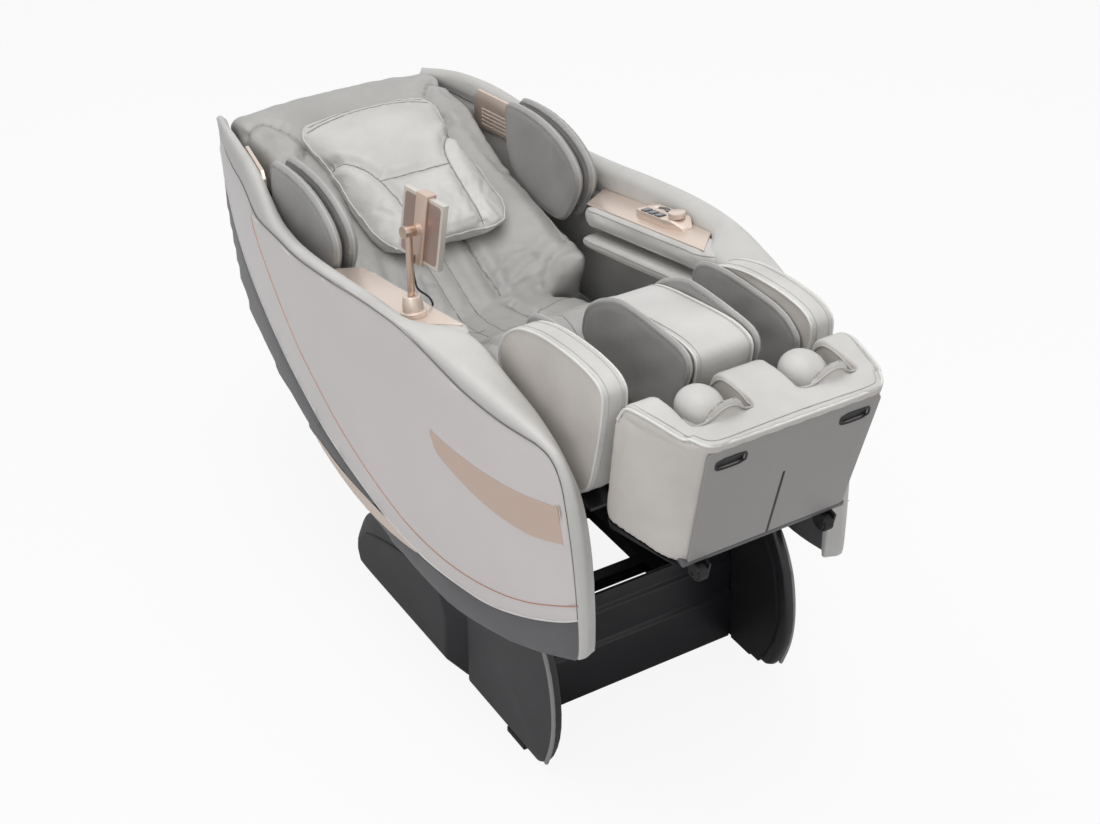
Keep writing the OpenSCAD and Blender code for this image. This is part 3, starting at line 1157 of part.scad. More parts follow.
base_frame();
base_side_left();
base_side_right();
rear_cover_left();
rear_cover_right();
cross_panel();
base_feet();
power_box();
transport_wheels();
air_pump();
recline_tube();
recline_rod();
lift_tube();
lift_rod();
seat_frame();
seat_plates();
shell_left();
shell_right();
skirt_left();
skirt_right();
shell_trims();
wall_pad_left();
wall_pad_right();
back_hull();
back_cushion();
seat_cushion();
head_pillow();
shoulder_outer_left();
shoulder_outer_right();
shoulder_inner_left();
shoulder_inner_right();
speakers();
arm_pad_left();
arm_pad_right();
arm_plate_left();
arm_plate_right();
forearm_pad_left();
forearm_pad_right();
keypad();
key_1();
key_2();
key_3();
dial();
tablet_socket();
tablet_post();
tablet_clamp();
tablet();
tablet_lead();
massage_carriage();
kneading_wheels();
leg_frame();
calf_block_left();
calf_block_right();
calf_centre_block();
calf_leaves();
foot_housing();
sole_panel();
foot_cushion();
foot_rollers();
foot_casters();
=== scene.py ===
import json
import math
import random

import bmesh
import bpy
from mathutils import Matrix, Vector
from mathutils.bvhtree import BVHTree
from mathutils.kdtree import KDTree

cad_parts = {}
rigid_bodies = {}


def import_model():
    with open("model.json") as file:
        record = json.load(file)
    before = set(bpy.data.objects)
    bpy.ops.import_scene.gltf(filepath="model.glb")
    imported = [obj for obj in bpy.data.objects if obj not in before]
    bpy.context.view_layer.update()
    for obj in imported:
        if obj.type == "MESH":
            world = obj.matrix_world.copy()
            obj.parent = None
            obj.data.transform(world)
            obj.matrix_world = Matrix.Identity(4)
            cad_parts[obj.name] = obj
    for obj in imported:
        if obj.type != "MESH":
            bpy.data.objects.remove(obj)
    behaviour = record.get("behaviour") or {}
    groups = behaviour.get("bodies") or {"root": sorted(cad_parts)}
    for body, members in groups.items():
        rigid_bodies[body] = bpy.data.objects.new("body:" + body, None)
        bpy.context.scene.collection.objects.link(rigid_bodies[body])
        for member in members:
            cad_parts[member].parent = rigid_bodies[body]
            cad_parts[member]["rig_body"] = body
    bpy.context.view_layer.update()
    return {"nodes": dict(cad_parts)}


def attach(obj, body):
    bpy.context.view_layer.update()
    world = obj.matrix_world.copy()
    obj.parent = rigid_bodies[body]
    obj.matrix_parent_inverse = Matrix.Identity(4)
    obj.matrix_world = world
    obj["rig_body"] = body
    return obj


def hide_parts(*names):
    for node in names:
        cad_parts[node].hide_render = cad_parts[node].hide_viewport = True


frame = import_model()
scene = bpy.context.scene


# ---------- the view ----------
# The camera stands at the chair's right front corner and looks down on it, as the
# photograph's camera does: a 62 mm lens on a 36 mm sensor, 3.7 m from the seat.
camera = bpy.data.objects.new("view_camera", bpy.data.cameras.new("view_camera"))
scene.collection.objects.link(camera)
scene.camera = camera
camera.data.lens = 62.106
camera.data.clip_end = 60
ahead = Vector((0.4343, 0.7115, -0.5525)).normalized()
rightward = Vector((0.8536, -0.5210, 0)).normalized()
upward = rightward.cross(ahead)
camera.matrix_world = Matrix.Translation((-1.667, -2.857, 2.612)) @ Matrix(
    (rightward, upward, -ahead)).transposed().to_4x4()
scene.view_settings.view_transform = "Standard"


# ---------- the room ----------
# A white studio: a broad soft light overhead, weaker ones in front and at the left, a pale
# floor that keeps the chair's shadow, and white behind everything.
def add(tree, kind, inputs=None, **settings):
    made = tree.nodes.new("ShaderNode" + kind)
    for key, value in settings.items():
        setattr(made, key, value)
    for key, value in (inputs or {}).items():
        if isinstance(value, bpy.types.NodeSocket):
            tree.links.new(value, made.inputs[key])
        else:
            made.inputs[key].default_value = value
    return made


def blank(name):
    look = bpy.data.materials.new(name)
    look.use_nodes = True
    tree = look.node_tree
    tree.nodes.clear()
    shader = add(tree, "BsdfPrincipled")
    add(tree, "OutputMaterial", {"Surface": shader.outputs[0]})
    return look, tree, shader


def soft_light(name, at, aim, width, power):
    lamp = bpy.data.objects.new(name, bpy.data.lights.new(name, "AREA"))
    lamp.data.shape = "DISK"
    lamp.data.size = width
    lamp.data.energy = power
    lamp.location = at
    lamp.rotation_euler = (Vector(aim) - Vector(at)).to_track_quat("-Z", "Y").to_euler()
    scene.collection.objects.link(lamp)


soft_light("light_overhead", (-0.3, -0.2, 3.6), (0, 0, 0.4), 3.2, 62)
soft_light("light_front", (-2.6, -2.6, 2.4), (0, 0, 0.5), 2.4, 24)
soft_light("light_left", (2.8, -1.2, 2.2), (0, 0, 0.5), 2.0, 12)

scene.world = bpy.data.worlds.new("studio")
scene.world.use_nodes = True
tree = scene.world.node_tree
tree.nodes.clear()
seen = add(tree, "LightPath")
either = add(tree, "Math", {0: seen.outputs["Is Camera Ray"], 1: seen.outputs["Is Glossy Ray"]},
             operation="MAXIMUM")
any_way = add(tree, "Math", {0: either.outputs[0], 1: seen.outputs["Is Transmission Ray"]},
              operation="MAXIMUM")
fill = add(tree, "Background", {"Color": (0.98, 0.98, 1.0, 1), "Strength": 0.45})
white = add(tree, "Background", {"Color": (1, 1, 1, 1), "Strength": 1.0})
mixed = add(tree, "MixShader", {0: any_way.outputs[0], 1: fill.outputs[0], 2: white.outputs[0]})
add(tree, "OutputWorld", {"Surface": mixed.outputs[0]})

floor_look, tree, shader = blank("studio_floor")
shader.inputs["Base Color"].default_value = (0.86, 0.86, 0.86, 1)
shader.inputs["Roughness"].default_value = 0.9
shader.inputs["Specular IOR Level"].default_value = 0.1
glow = add(tree, "Emission", {"Color": (1, 1, 1, 1), "Strength": 1.0})
seen = add(tree, "LightPath")
part = add(tree, "Math", {0: seen.outputs["Is Camera Ray"], 1: 0.90}, operation="MULTIPLY")
mixed = add(tree, "MixShader", {0: part.outputs[0], 1: shader.outputs[0], 2: glow.outputs[0]})
tree.links.new(mixed.outputs[0], tree.nodes["Material Output"].inputs["Surface"])
bm = bmesh.new()
bmesh.ops.create_grid(bm, x_segments=2, y_segments=2, size=14)
floor_mesh = bpy.data.meshes.new("studio_floor")
bm.to_mesh(floor_mesh)
studio_floor = bpy.data.objects.new("studio_floor", floor_mesh)
floor_mesh.materials.append(floor_look)
scene.collection.objects.link(studio_floor)


# ---------- the tablet's lead ----------
# A thin soft lead from the clip on the tablet's clamp down to the armrest cushion. Colours
# are read from the photograph as sRGB codes.
def linear(code):
    shares = [int(code[i:i + 2], 16) / 255 for i in (0, 2, 4)]
    return [s / 12.92 if s <= 0.04045 else ((s + 0.055) / 1.055) ** 2.4 for s in shares] + [1]


def feed(tree, shader, **sockets):
    for key, value in sockets.items():
        tree.links.new(value, shader.inputs[key.replace("_", " ")])


hand = 0.12  # the slow change of tone over a surface has the width of a hand
looks = {}


def moulded(name, code, rough, texture=0.0006, depth=0.08, coat=0.0, metal=0.0):
    """Moulded or lacquered surface: a fine spark texture under a gloss that varies a little."""
    look, tree, shader = blank(name)
    place = add(tree, "TexCoord").outputs["Object"]
    spark = add(tree, "TexNoise", {"Vector": place, "Scale": 1 / texture, "Detail": 2.0})
    slow = add(tree, "TexNoise", {"Vector": place, "Scale": 0.7 / hand, "Detail": 4.0})
    tone = add(tree, "HueSaturation", {"Color": linear(code), "Value": 1.0})
    value = add(tree, "MapRange", {"Value": slow.outputs["Fac"], "To Min": 0.95, "To Max": 1.05})
    tree.links.new(value.outputs[0], tone.inputs["Value"])
    bump = add(tree, "Bump", {"Height": spark.outputs["Fac"], "Strength": depth, "Distance": texture / 3})
    gloss = add(tree, "MapRange", {"Value": slow.outputs["Fac"], "To Min": rough - 0.04,
                                             "To Max": rough + 0.06})
    shader.inputs["Coat Weight"].default_value = coat
    shader.inputs["Coat Roughness"].default_value = 0.12
    shader.inputs["Metallic"].default_value = metal
    feed(tree, shader, Base_Color=tone.outputs[0], Normal=bump.outputs[0], Roughness=gloss.outputs[0])
    return look


def place(made, name, look, body, paint, stands_for=(), sharp=40):
    """A finished piece from a bmesh or a curve: its look, its body and what it stands for."""
    if isinstance(made, bmesh.types.BMesh):
        mesh = bpy.data.meshes.new(name)
        made.to_mesh(mesh)
        made.free()
        mesh.shade_smooth()
        mesh.set_sharp_from_angle(angle=math.radians(sharp))
        made = mesh
    for each in ([look] if isinstance(look, str) else look):
        made.materials.append(looks[each])
    piece = bpy.data.objects.new(name, made)
    scene.collection.objects.link(piece)
    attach(piece, body)
    if stands_for:
        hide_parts(*stands_for)
    return piece


def line(points, radius, closed=False, sides=2):
    """A round cord along points, as a curve."""
    curve = bpy.data.curves.new("line", "CURVE")
    curve.dimensions = "3D"
    curve.bevel_depth = radius
    curve.bevel_resolution = sides
    curve.use_fill_caps = True
    spline = curve.splines.new("POLY")
    spline.points.add(len(points) - 1)
    for spot, p in zip(spline.points, points):
        spot.co = (*p, 1)
    spline.use_cyclic_u = closed
    spline.use_smooth = True
    return curve


looks["lead"] = moulded("lead_sheath", "1c1c1d", 0.55, 0.0005, 0.15)
lead_d = 0.004
lead_route = [(-.302, -.139, .943), (-.302, -.140, .939), (-.303, -.141, .930),
    (-.303, -.141, .920), (-.301, -.140, .910), (-.299, -.138, .899), (-.296, -.135, .889),
    (-.292, -.130, .877), (-.288, -.126, .867), (-.283, -.123, .859), (-.277, -.122, .852),
    (-.270, -.124, .846), (-.264, -.127, .839), (-.261, -.129, .833), (-.259, -.130, .827),
    (-.259, -.130, .821)]
lead = place(line(lead_route, lead_d / 2, sides=3), "tablet_lead_sheath", "lead", "chair", "lead_black",
             ["tablet_lead"])

# ---------- base ----------
# Grained side covers and rear covers over a steel frame, with a stepped cross panel in
# front. The covers' edges are rounded, and a groove runs down the rear cover.
def copied(*nodes):
    """Copies of CAD nodes in one bmesh, their loose triangles merged and flat faces joined."""
    bm = bmesh.new()
    for n in nodes:
        bm.from_mesh(frame["nodes"][n].data)
    bmesh.ops.remove_doubles(bm, verts=bm.verts, dist=1e-5)
    bmesh.ops.dissolve_limit(bm, angle_limit=math.radians(0.6), verts=bm.verts, edges=bm.edges)
    return bm


def rounded_edges(bm, width, over=28, steps=3):
    edges = [e for e in bm.edges if len(e.link_faces) == 2 and e.calc_face_angle(0) > math.radians(over)]
    bmesh.ops.bevel(bm, geom=edges, offset=width, offset_type="OFFSET", segments=steps, profile=0.5,
                    affect="EDGES", clamp_overlap=True, material=-1)
    return bm


both = (("left", 1), ("right", -1))


def body_of(node):
    return frame["nodes"][node]["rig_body"]


def eased(node, look, width, paint, over=28, sharp=40, steps=3):
    """A CAD part with its edges rounded, which stands for the plain one."""
    place(rounded_edges(copied(node), width, over, steps), node + "_body", look, body_of(node),
          paint, [node], sharp)


def kept(look, *nodes):
    """CAD parts that stay as they are, with their finish."""
    for n in nodes:
        node = frame["nodes"][n]
        node.data.materials.clear()
        node.data.materials.append(looks[look])


def at_side(shares):
    """Shares of the shells' length and height, as places (y, z)."""
    return [Vector((-0.711 + 1.610 * s, 0.294 + 0.572 * t)) for s, t in shares]


def flowing(points, step, closed=True, passes=3):
    """The points joined by a soft line, with a point at every step."""
    points = [Vector(p) for p in points]
    for _ in range(passes):
        pairs = list(zip(points, points[1:] + points[:1] if closed else points[1:]))
        cut = [a.lerp(b, t) for a, b in pairs for t in (0.25, 0.75)]
        points = cut if closed else [points[0]] + cut + [points[-1]]
    if closed:
        points.append(points[0])
    whole = sum((b - a).length for a, b in zip(points, points[1:]))
    count = max(3, round(whole / step))
    even, gone, next_at = [], 0.0, 0.0
    for a, b in zip(points, points[1:]):
        long = (b - a).length
        while long > 0 and next_at <= gone + long + 1e-9 and len(even) < count + (not closed):
            even.append(a.lerp(b, min(1, (next_at - gone) / long)))
            next_at += whole / count
        gone += long
    return even


def outer_x(y):
    return 0.390 - 2.990 + math.sqrt(2.990 ** 2 - (y - 0.030) ** 2)


def wall_x(y):
    return 0.346 - 3.300 + math.sqrt(3.300 ** 2 - (y - 0.059) ** 2)


def mirrored(bm):
    """The same piece for the chair's other side."""
    bmesh.ops.scale(bm, vec=(-1, 1, 1), verts=bm.verts)
    bmesh.ops.reverse_faces(bm, faces=bm.faces)
    return bm


def both_sides(make, name, look, paint, node, sharp=40):
    for side in ("left", "right"):
        bm = make() if side == "left" else mirrored(make())
        place(bm, f"{name}_{side}", look, body_of(f"{node}_{side}"), paint, [f"{node}_{side}"], sharp)


looks["base"] = moulded("moulded_base_black", "131217", 0.42, 0.0008, 0.16)
looks["fin"] = moulded("moulded_fin_grey", "1f1d21", 0.40, 0.0008, 0.12)
looks["rubber"] = moulded("rubber_black", "121213", 0.66, 0.0004, 0.22)
looks["black"] = moulded("moulded_black", "161518", 0.42, 0.0006, 0.10)
looks["steel"] = moulded("powder_coated_steel", "1b1b1d", 0.50, 0.0005, 0.22, 0.0, 0.2)
looks["actuator"] = moulded("anodised_tube", "6d7074", 0.34, 0.0005, 0.05, 0.0, 0.85)
looks["rod"] = moulded("polished_rod", "c4c7ca", 0.14, 0.0005, 0.01, 0.0, 1.0)
looks["hub"] = moulded("moulded_hub_grey", "8b8a88", 0.42, 0.0006, 0.08)
for side in ("left", "right"):
    eased("base_side_" + side, "fin", 0.009, "base_black", steps=4)
    eased("rear_cover_" + side, "base", 0.016, "base_black", over=8, steps=4, sharp=60)
eased("cross_panel", "base", 0.003, "base_black")
eased("transport_wheels", "rubber", 0.003, "rubber_black")
eased("power_box", "black", 0.003, "box_black")
eased("air_pump", "black", 0.006, "box_black")
kept("steel", "base_frame")
kept("rubber", "base_feet")
kept("actuator", "recline_tube", "lift_tube")
kept("rod", "recline_rod", "lift_rod")

# The light rounded strip down the front edge of each side cover, and the groove that
# parts the rear cover's ridge from its lower face.
fin_edge = [(-0.606 + 0.427 * s, 0.012 + 0.4498 * t) for s, t in (
    (0.075, 0.045), (0.028, 0.173), (0.010, 0.307), (0.024, 0.462), (0.066, 0.610), (0.187, 0.782),
    (0.419, 0.900),
    (0.700, 0.974))]
ridge = [(-0.268 + 0.492 * s, 0.006 + 0.256 * t) for s, t in (
    (0.115, 0.870), (0.240, 0.845), (0.410, 0.775), (0.610, 0.665), (0.740, 0.580), (0.820, 0.510))]
for side, turn in both:
    edge = [(turn * 0.2815, y, z) for y, z in flowing(fin_edge, 0.012, closed=False)]
    place(line(edge, 0.0045), f"base_side_bead_{side}", "hub", "base", "base_black")
    groove = [(turn * (0.3055 - 0.0006), y, z) for y, z in flowing(ridge, 0.012, closed=False)]
    place(line(groove, 0.0018), f"rear_cover_groove_{side}", "rubber", "base", "base_black")


# ---------- seat frame and hull ----------
# The powder-coated frame under the cushions, the kneading unit in it, and the grey hull
# that closes the back from below.
looks["hull"] = moulded("moulded_hull_grey", "2a2b2d", 0.45, 0.0009, 0.14)
looks["mech"] = moulded("zinc_carriage", "55585a", 0.46, 0.0005, 0.12, 0.0, 0.6)
kept("steel", "seat_frame", "seat_plates")
kept("mech", "massage_carriage")
kept("rubber", "kneading_wheels")
eased("back_hull", "hull", 0.0015, "hull_dark", over=60, sharp=50)


# ---------- side shells ----------
# Each side wall carries a gloss white shell with a rolled rim, a grey skirt below it, a
# copper pinstripe and a rose gold plaque at the front. The shell's rim turns in by 4.5 mm.
roof = [(0.984, 0.895), (0.928, 0.867), (0.872, 0.843), (0.825, 0.864), (0.783, 0.853),
    (0.742, 0.809), (0.698, 0.832), (0.647, 0.858), (0.579, 0.874), (0.492, 0.918),
    (0.391, 0.972), (0.319, 0.991), (0.281, 0.977), (0.232, 0.946), (0.189, 0.914),
    (0.124, 0.89), (0.062, 0.895), (0.041, 0.867), (0.03, 0.806), (0.023, 0.71), (0.015, 0.587),
    (0.003, 0.336)]
border = [(0.003, 0.336), (0.03, 0.283), (0.087, 0.205), (0.15, 0.147), (0.198, 0.135),
    (0.245, 0.126), (0.283, 0.126), (0.347, 0.145), (0.398, 0.178), (0.454, 0.212),
    (0.516, 0.248), (0.6, 0.322), (0.666, 0.374), (0.729, 0.427), (0.806, 0.483),
    (0.884, 0.556), (0.934, 0.632), (0.984, 0.774)]
bottom = [(0.984, 0.774), (1, 0.713), (0.976, 0.535), (0.95, 0.413), (0.897, 0.294),
    (0.807, 0.241), (0.711, 0.217), (0.633, 0.184), (0.557, 0.15), (0.49, 0.119),
    (0.415, 0.087), (0.37, 0.066), (0.316, 0.037), (0.27, 0.017), (0.22, 0.002), (0.151, 0.03),
    (0.088, 0.07), (0.03, 0.133), (0, 0.171), (0.003, 0.336)]
stripe = [(0.754, 0.801), (0.745, 0.753), (0.702, 0.68), (0.647, 0.591), (0.588, 0.497),
    (0.538, 0.441), (0.477, 0.364), (0.413, 0.302), (0.349, 0.247), (0.292, 0.208),
    (0.217, 0.196), (0.149, 0.22), (0.087, 0.269), (0.041, 0.332), (0.003, 0.392)]
plaque = [(0.248, 0.698), (0.22, 0.685), (0.176, 0.678), (0.13, 0.68), (0.088, 0.692),
    (0.051, 0.715), (0.031, 0.726), (0.022, 0.591), (0.068, 0.547), (0.11, 0.538),
    (0.155, 0.547), (0.202, 0.579), (0.237, 0.61), (0.248, 0.671)]


def shut(points, step, corners=2):
    """A closed outline made of runs that meet at corners."""
    out = []
    for run in points:
        out += flowing(run, step, closed=False, passes=corners)[:-1]
    return out


def tree_of(points):
    tree = KDTree(len(points))
    for i, p in enumerate(points):
        tree.insert(p, i)
    tree.balance()
    return tree


def distance_to(outline):
    """Gives the distance from a place (y, z) to a closed outline."""
    points = [Vector((0, p[0], p[1])) for p in flowing(outline, 0.0015, passes=0)]
    tree = tree_of(points)

    def distance(co):
        flat = Vector((0, co.y, co.z))
        i = tree.find(flat)[1]
        gaps = []
        for a, b in ((points[i - 1], points[i]), (points[i], points[(i + 1) % len(points)])):
            share = max(0.0, min(1.0, (flat - a).dot(b - a) / max(1e-12, (b - a).length_squared)))
            gaps.append((flat - a.lerp(b, share)).length)
        return min(gaps)

    return distance


def rim_line(outline, inset, x, matrix=Matrix.Identity(4)):
    """The outline drawn in by a little, as a line at x."""
    points = flowing(outline, 0.006, passes=1)
    n = len(points)
    area = sum(points[i - 1][0] * points[i][1] - points[i][0] * points[i - 1][1] for i in range(n))
    out = []
    for i, p in enumerate(points):
        way = (points[(i + 1) % n] - points[i - 1]).normalized()
        inward = Vector((-way[1], way[0])) * (1 if area > 0 else -1)
        out.append(matrix @ Vector((x, *(p + inward * inset))))
    return out


def sliced(bm, at, way, **clear):
    """Cuts every face along a plane, and clears one side if told to."""
    bmesh.ops.bisect_plane(bm, geom=bm.verts[:] + bm.edges[:] + bm.faces[:], plane_co=at, plane_no=way,
        **clear)


def pushed(bm, faces, move=(0, 0, 0), keep=False):
    """Extrudes faces, moves what was made and gives its vertices."""
    made = bmesh.ops.extrude_face_region(bm, geom=faces, use_keep_orig=keep)["geom"]
    verts = [v for v in made if isinstance(v, bmesh.types.BMVert)]
    bmesh.ops.translate(bm, vec=move, verts=verts)
    return verts


def pane(outline, rim, deep, out_at, bend=0.03, ways=((0, (0, 1, 0)), (1, (0, 0, 1)))):
    """A moulded sheet with that outline, its rim turned in and its face following out_at(y)."""
    bm = bmesh.new()
    face = bm.faces.new([bm.verts.new((0, y, z)) for y, z in outline])
    for share in (0.10, 0.20, 0.30, 0.40):
        bmesh.ops.inset_region(bm, faces=[face], thickness=rim * share, use_even_offset=True)
    for way, axis in ways:
        start = min(p[way] for p in outline)
        for i in range(1, int((max(p[way] for p in outline) - start) / bend)):
            sliced(bm, Vector(axis) * (start + i * bend), axis)
    distance = distance_to(outline)
    for v in bm.verts:
        d = min(rim, distance(v.co))
        v.co.x = out_at(v.co.y) - rim + math.sqrt(max(0, rim ** 2 - (rim - d) ** 2))
    for v in pushed(bm, bm.faces[:], keep=True):
        v.co.x = out_at(v.co.y) - deep
    bmesh.ops.recalc_face_normals(bm, faces=bm.faces)
    return bm


pore = 0.0021  # the leather's pores


def leather(name, code, dark_code, rough=0.43):
    """Soft coated leather: pores of 2 mm, fine creases, and painted shade along seams and folds."""
    look, tree, shader = blank(name)
    place = add(tree, "TexCoord").outputs["Object"]
    pores = add(tree, "TexVoronoi", {"Vector": place, "Scale": 1 / pore}, feature="DISTANCE_TO_EDGE")
    creases = add(tree, "TexNoise", {"Vector": place, "Scale": 4 / hand, "Detail": 7.0,
                                                  "Distortion": 1.2})
    slow = add(tree, "TexNoise", {"Vector": place, "Scale": 0.9 / hand, "Detail": 3.0})
    # The seam attribute holds painted shade: the colour is mixed towards dark_code along seams and folds, as
    # well as by the slow random change of tone.
    seam = add(tree, "Attribute", attribute_name="seam")
    shade = add(tree, "MapRange", {"Value": slow.outputs["Fac"], "From Min": 0.3, "From Max": 0.7,
                                             "To Min": 0.0, "To Max": 0.35})
    shade = add(tree, "Math", {0: seam.outputs["Fac"], 1: shade.outputs[0]}, operation="MAXIMUM")
    tone = add(tree, "Mix", {"Factor": shade.outputs[0], 6: linear(code), 7: linear(dark_code)},
               data_type="RGBA")
    fine = add(tree, "Bump", {"Height": pores.outputs["Distance"], "Strength": 0.25, "Distance": 0.0004})
    broad = add(tree, "Bump", {"Height": creases.outputs["Fac"], "Strength": 0.22, "Distance": 0.004,
                                         "Normal": fine.outputs[0]})
    gloss = add(tree, "MapRange", {"Value": creases.outputs["Fac"], "To Min": rough - 0.07,
                                             "To Max": rough + 0.10})
    feed(tree, shader, Base_Color=tone.outputs[2], Normal=broad.outputs[0], Roughness=gloss.outputs[0])
    return look


def brushed(name, code, rough, metal):
    """Brushed metal under clear lacquer, its hairlines running along the chair."""
    look, tree, shader = blank(name)
    place = add(tree, "TexCoord").outputs["Object"]
    lines = add(tree, "Mapping", {"Vector": place, "Scale": (2200, 45, 2200)})
    hairs = add(tree, "TexNoise", {"Vector": lines.outputs[0], "Scale": 1.0, "Detail": 3.0})
    tone = add(tree, "Mix", {"Factor": hairs.outputs["Fac"], 6: linear(code),
                                       7: [c * 0.86 for c in linear(code)[:3]] + [1]}, data_type="RGBA")
    bump = add(tree, "Bump", {"Height": hairs.outputs["Fac"], "Strength": 0.05, "Distance": 0.0002})
    gloss = add(tree, "MapRange", {"Value": hairs.outputs["Fac"], "To Min": rough - 0.05,
                                             "To Max": rough + 0.08})
    shader.inputs["Metallic"].default_value = metal
    shader.inputs["Coat Weight"].default_value = 0.25
    shader.inputs["Coat Roughness"].default_value = 0.2
    feed(tree, shader, Base_Color=tone.outputs[2], Normal=bump.outputs[0], Roughness=gloss.outputs[0])
    return look


looks["shell"] = moulded("moulded_shell_white", "d3cdcc", 0.30, 0.0009, 0.03, 0.35)
looks["skirt"] = moulded("moulded_skirt_grey", "5b5b5d", 0.40, 0.0007, 0.08)
looks["piping"] = leather("leather_piping", "e2e1dd", "b9b8b4", 0.36)
looks["gold"] = brushed("rose_gold_lacquer", "e2d1c4", 0.32, 0.50)
looks["copper"] = moulded("copper_pinstripe", "b5866d", 0.30, 0.0005, 0.02, 0.2, 0.5)
looks["plaque"] = brushed("rose_gold_plaque", "d2baab", 0.36, 0.45)
looks["pale_gold"] = brushed("pale_gold_rim", "d6d0c6", 0.30, 0.35)
shell_outline = shut([at_side(roof[:3]), at_side(roof[2:6]), at_side(roof[5:17]), at_side(roof[16:]),
                      at_side(border), at_side([border[-1], roof[0]])], 0.012)
both_sides(lambda: pane(shell_outline, 0.0045, 0.009, outer_x), "shell_skin", "shell", "shell", "shell", 30)
skirt_outline = shut([at_side(border), at_side(bottom)], 0.012)
both_sides(lambda: pane(skirt_outline, 0.006, 0.0125, lambda y: outer_x(y) - 0.0035),
           "skirt_skin", "skirt", "skirt", "skirt", 30)

# A thin light lip lies between shell and skirt. The pinstripe runs parallel to the lower
# edge, and a rose gold band lines the skirt's lower edge behind the front panel.
band = [(0.56, 0.178), (0.478, 0.154), (0.409, 0.151), (0.348, 0.149), (0.281, 0.125),
    (0.309, 0.112), (0.361, 0.101), (0.424, 0.102), (0.494, 0.128), (0.545, 0.158)]
for side, turn in both:
    lip = [(turn * (outer_x(y) - 0.0040), y, z)
           for y, z in flowing(at_side(border), 0.012, closed=False, passes=2)]
    place(line(lip, 0.0024), f"shell_lip_{side}", "piping", "chair", "shell")
    pin = [(turn * (outer_x(y) + 0.0001), y, z) for y, z in flowing(at_side(stripe), 0.012, closed=False)]
    place(line(pin, 0.0012), f"pinstripe_{side}", "copper", "chair", "rose_gold")
plate_outline = shut([at_side(plaque[:7]), at_side(plaque[6:8]), at_side(plaque[7:]),
                      at_side([plaque[-1], plaque[0]])], 0.006)
face_outline = [(p.y, p.z) for p in rim_line(plate_outline, 0.0034, 0)]
band_outline = flowing(at_side(band), 0.008, passes=1)
for side, turn in both:
    for name, outline, look, proud in (("plaque_rim", plate_outline, "pale_gold", 0.0012),
                                       ("plaque_face", face_outline, "plaque", 0.0021),
                                       ("skirt_band", band_outline, "gold", -0.0010)):
        bm = pane(outline, 0.0015, 0.002, lambda y, proud=proud: outer_x(y) + proud, 0.02, ((0, (0, 1, 0)),))
        place(mirrored(bm) if turn < 0 else bm, f"{name}_{side}", look, "chair", "rose_gold", ["shell_trims"])


# ---------- side walls ----------
# Leather over foam: one broad smooth surface rolls over the top of each wall, widens to
# the armrest's width in front of the armrest, and comes down the front end as a strip.
# A row gives the seam at the shell, the crest, the top's extra width, the inner edge and
# the wall's foot, as shares of the shells' length and height.
wall_rows = [(0.984, 0.895, 0.986, 0.906, 0, 0.98, 0.89, 0.978, 0.675),
    (0.928, 0.867, 0.943, 0.941, 0, 0.938, 0.922, 0.953, 0.517),
    (0.89, 0.85, 0.9, 0.964, 0, 0.898, 0.945, 0.897, 0.395),
    (0.85, 0.852, 0.85, 0.972, 0, 0.85, 0.952, 0.85, 0.36),
    (0.815, 0.864, 0.8, 0.97, 0, 0.8, 0.95, 0.81, 0.325),
    (0.78, 0.851, 0.755, 0.953, 0, 0.758, 0.932, 0.755, 0.3),
    (0.742, 0.812, 0.718, 0.919, 0, 0.72, 0.896, 0.718, 0.29),
    (0.698, 0.832, 0.685, 0.893, 0, 0.686, 0.87, 0.686, 0.28),
    (0.647, 0.858, 0.642, 0.889, 0, 0.642, 0.866, 0.642, 0.273),
    (0.579, 0.874, 0.579, 0.904, 0, 0.579, 0.882, 0.579, 0.26),
    (0.492, 0.918, 0.492, 0.943, 0, 0.492, 0.921, 0.492, 0.255),
    (0.391, 0.968, 0.391, 0.985, 0, 0.391, 0.962, 0.391, 0.3),
    (0.345, 0.978, 0.345, 0.997, 0, 0.345, 0.965, 0.345, 0.305),
    (0.32, 0.982, 0.32, 1, 0.002, 0.322, 0.96, 0.32, 0.306),
    (0.3, 0.98, 0.3, 1, 0.027, 0.302, 0.962, 0.3, 0.308),
    (0.283, 0.976, 0.283, 0.999, 0.055, 0.285, 0.968, 0.283, 0.308),
    (0.262, 0.965, 0.262, 0.997, 0.063, 0.263, 0.977, 0.262, 0.308),
    (0.228, 0.943, 0.228, 0.99, 0.06, 0.23, 0.972, 0.228, 0.308),
    (0.189, 0.914, 0.189, 0.976, 0.052, 0.192, 0.945, 0.189, 0.308),
    (0.15, 0.899, 0.148, 0.958, 0.043, 0.154, 0.92, 0.15, 0.308),
    (0.118, 0.891, 0.114, 0.942, 0.033, 0.122, 0.904, 0.118, 0.32),
    (0.088, 0.893, 0.083, 0.93, 0.019, 0.094, 0.89, 0.104, 0.38),
    (0.062, 0.894, 0.056, 0.915, 0.006, 0.067, 0.868, 0.085, 0.47),
    (0.043, 0.872, 0.035, 0.885, 0, 0.048, 0.828, 0.062, 0.5),
    (0.03, 0.806, 0.02, 0.808, 0, 0.032, 0.77, 0.044, 0.56),
    (0.023, 0.71, 0.011, 0.706, 0, 0.02, 0.69, 0.032, 0.6),
    (0.015, 0.587, 0.003, 0.58, 0, 0.012, 0.575, 0.022, 0.56),
    (0.009, 0.45, 0, 0.446, 0, 0.007, 0.444, 0.017, 0.44),
    (0.005, 0.33, -0.002, 0.328, 0, 0.005, 0.327, 0.015, 0.325),
    (0.003, 0.215, -0.002, 0.213, 0, 0.005, 0.212, 0.014, 0.21),
    (0.005, 0.18, 0.001, 0.18, 0, 0.006, 0.18, 0.012, 0.18)]
looks["wall"] = leather("leather_wall", "cac9c6", "a7a6a3")
looks["thread"] = moulded("sewing_thread", "777674", 0.7, 0.0005, 0.4)
wall_stations = flowing(wall_rows, 0.0105, closed=False)


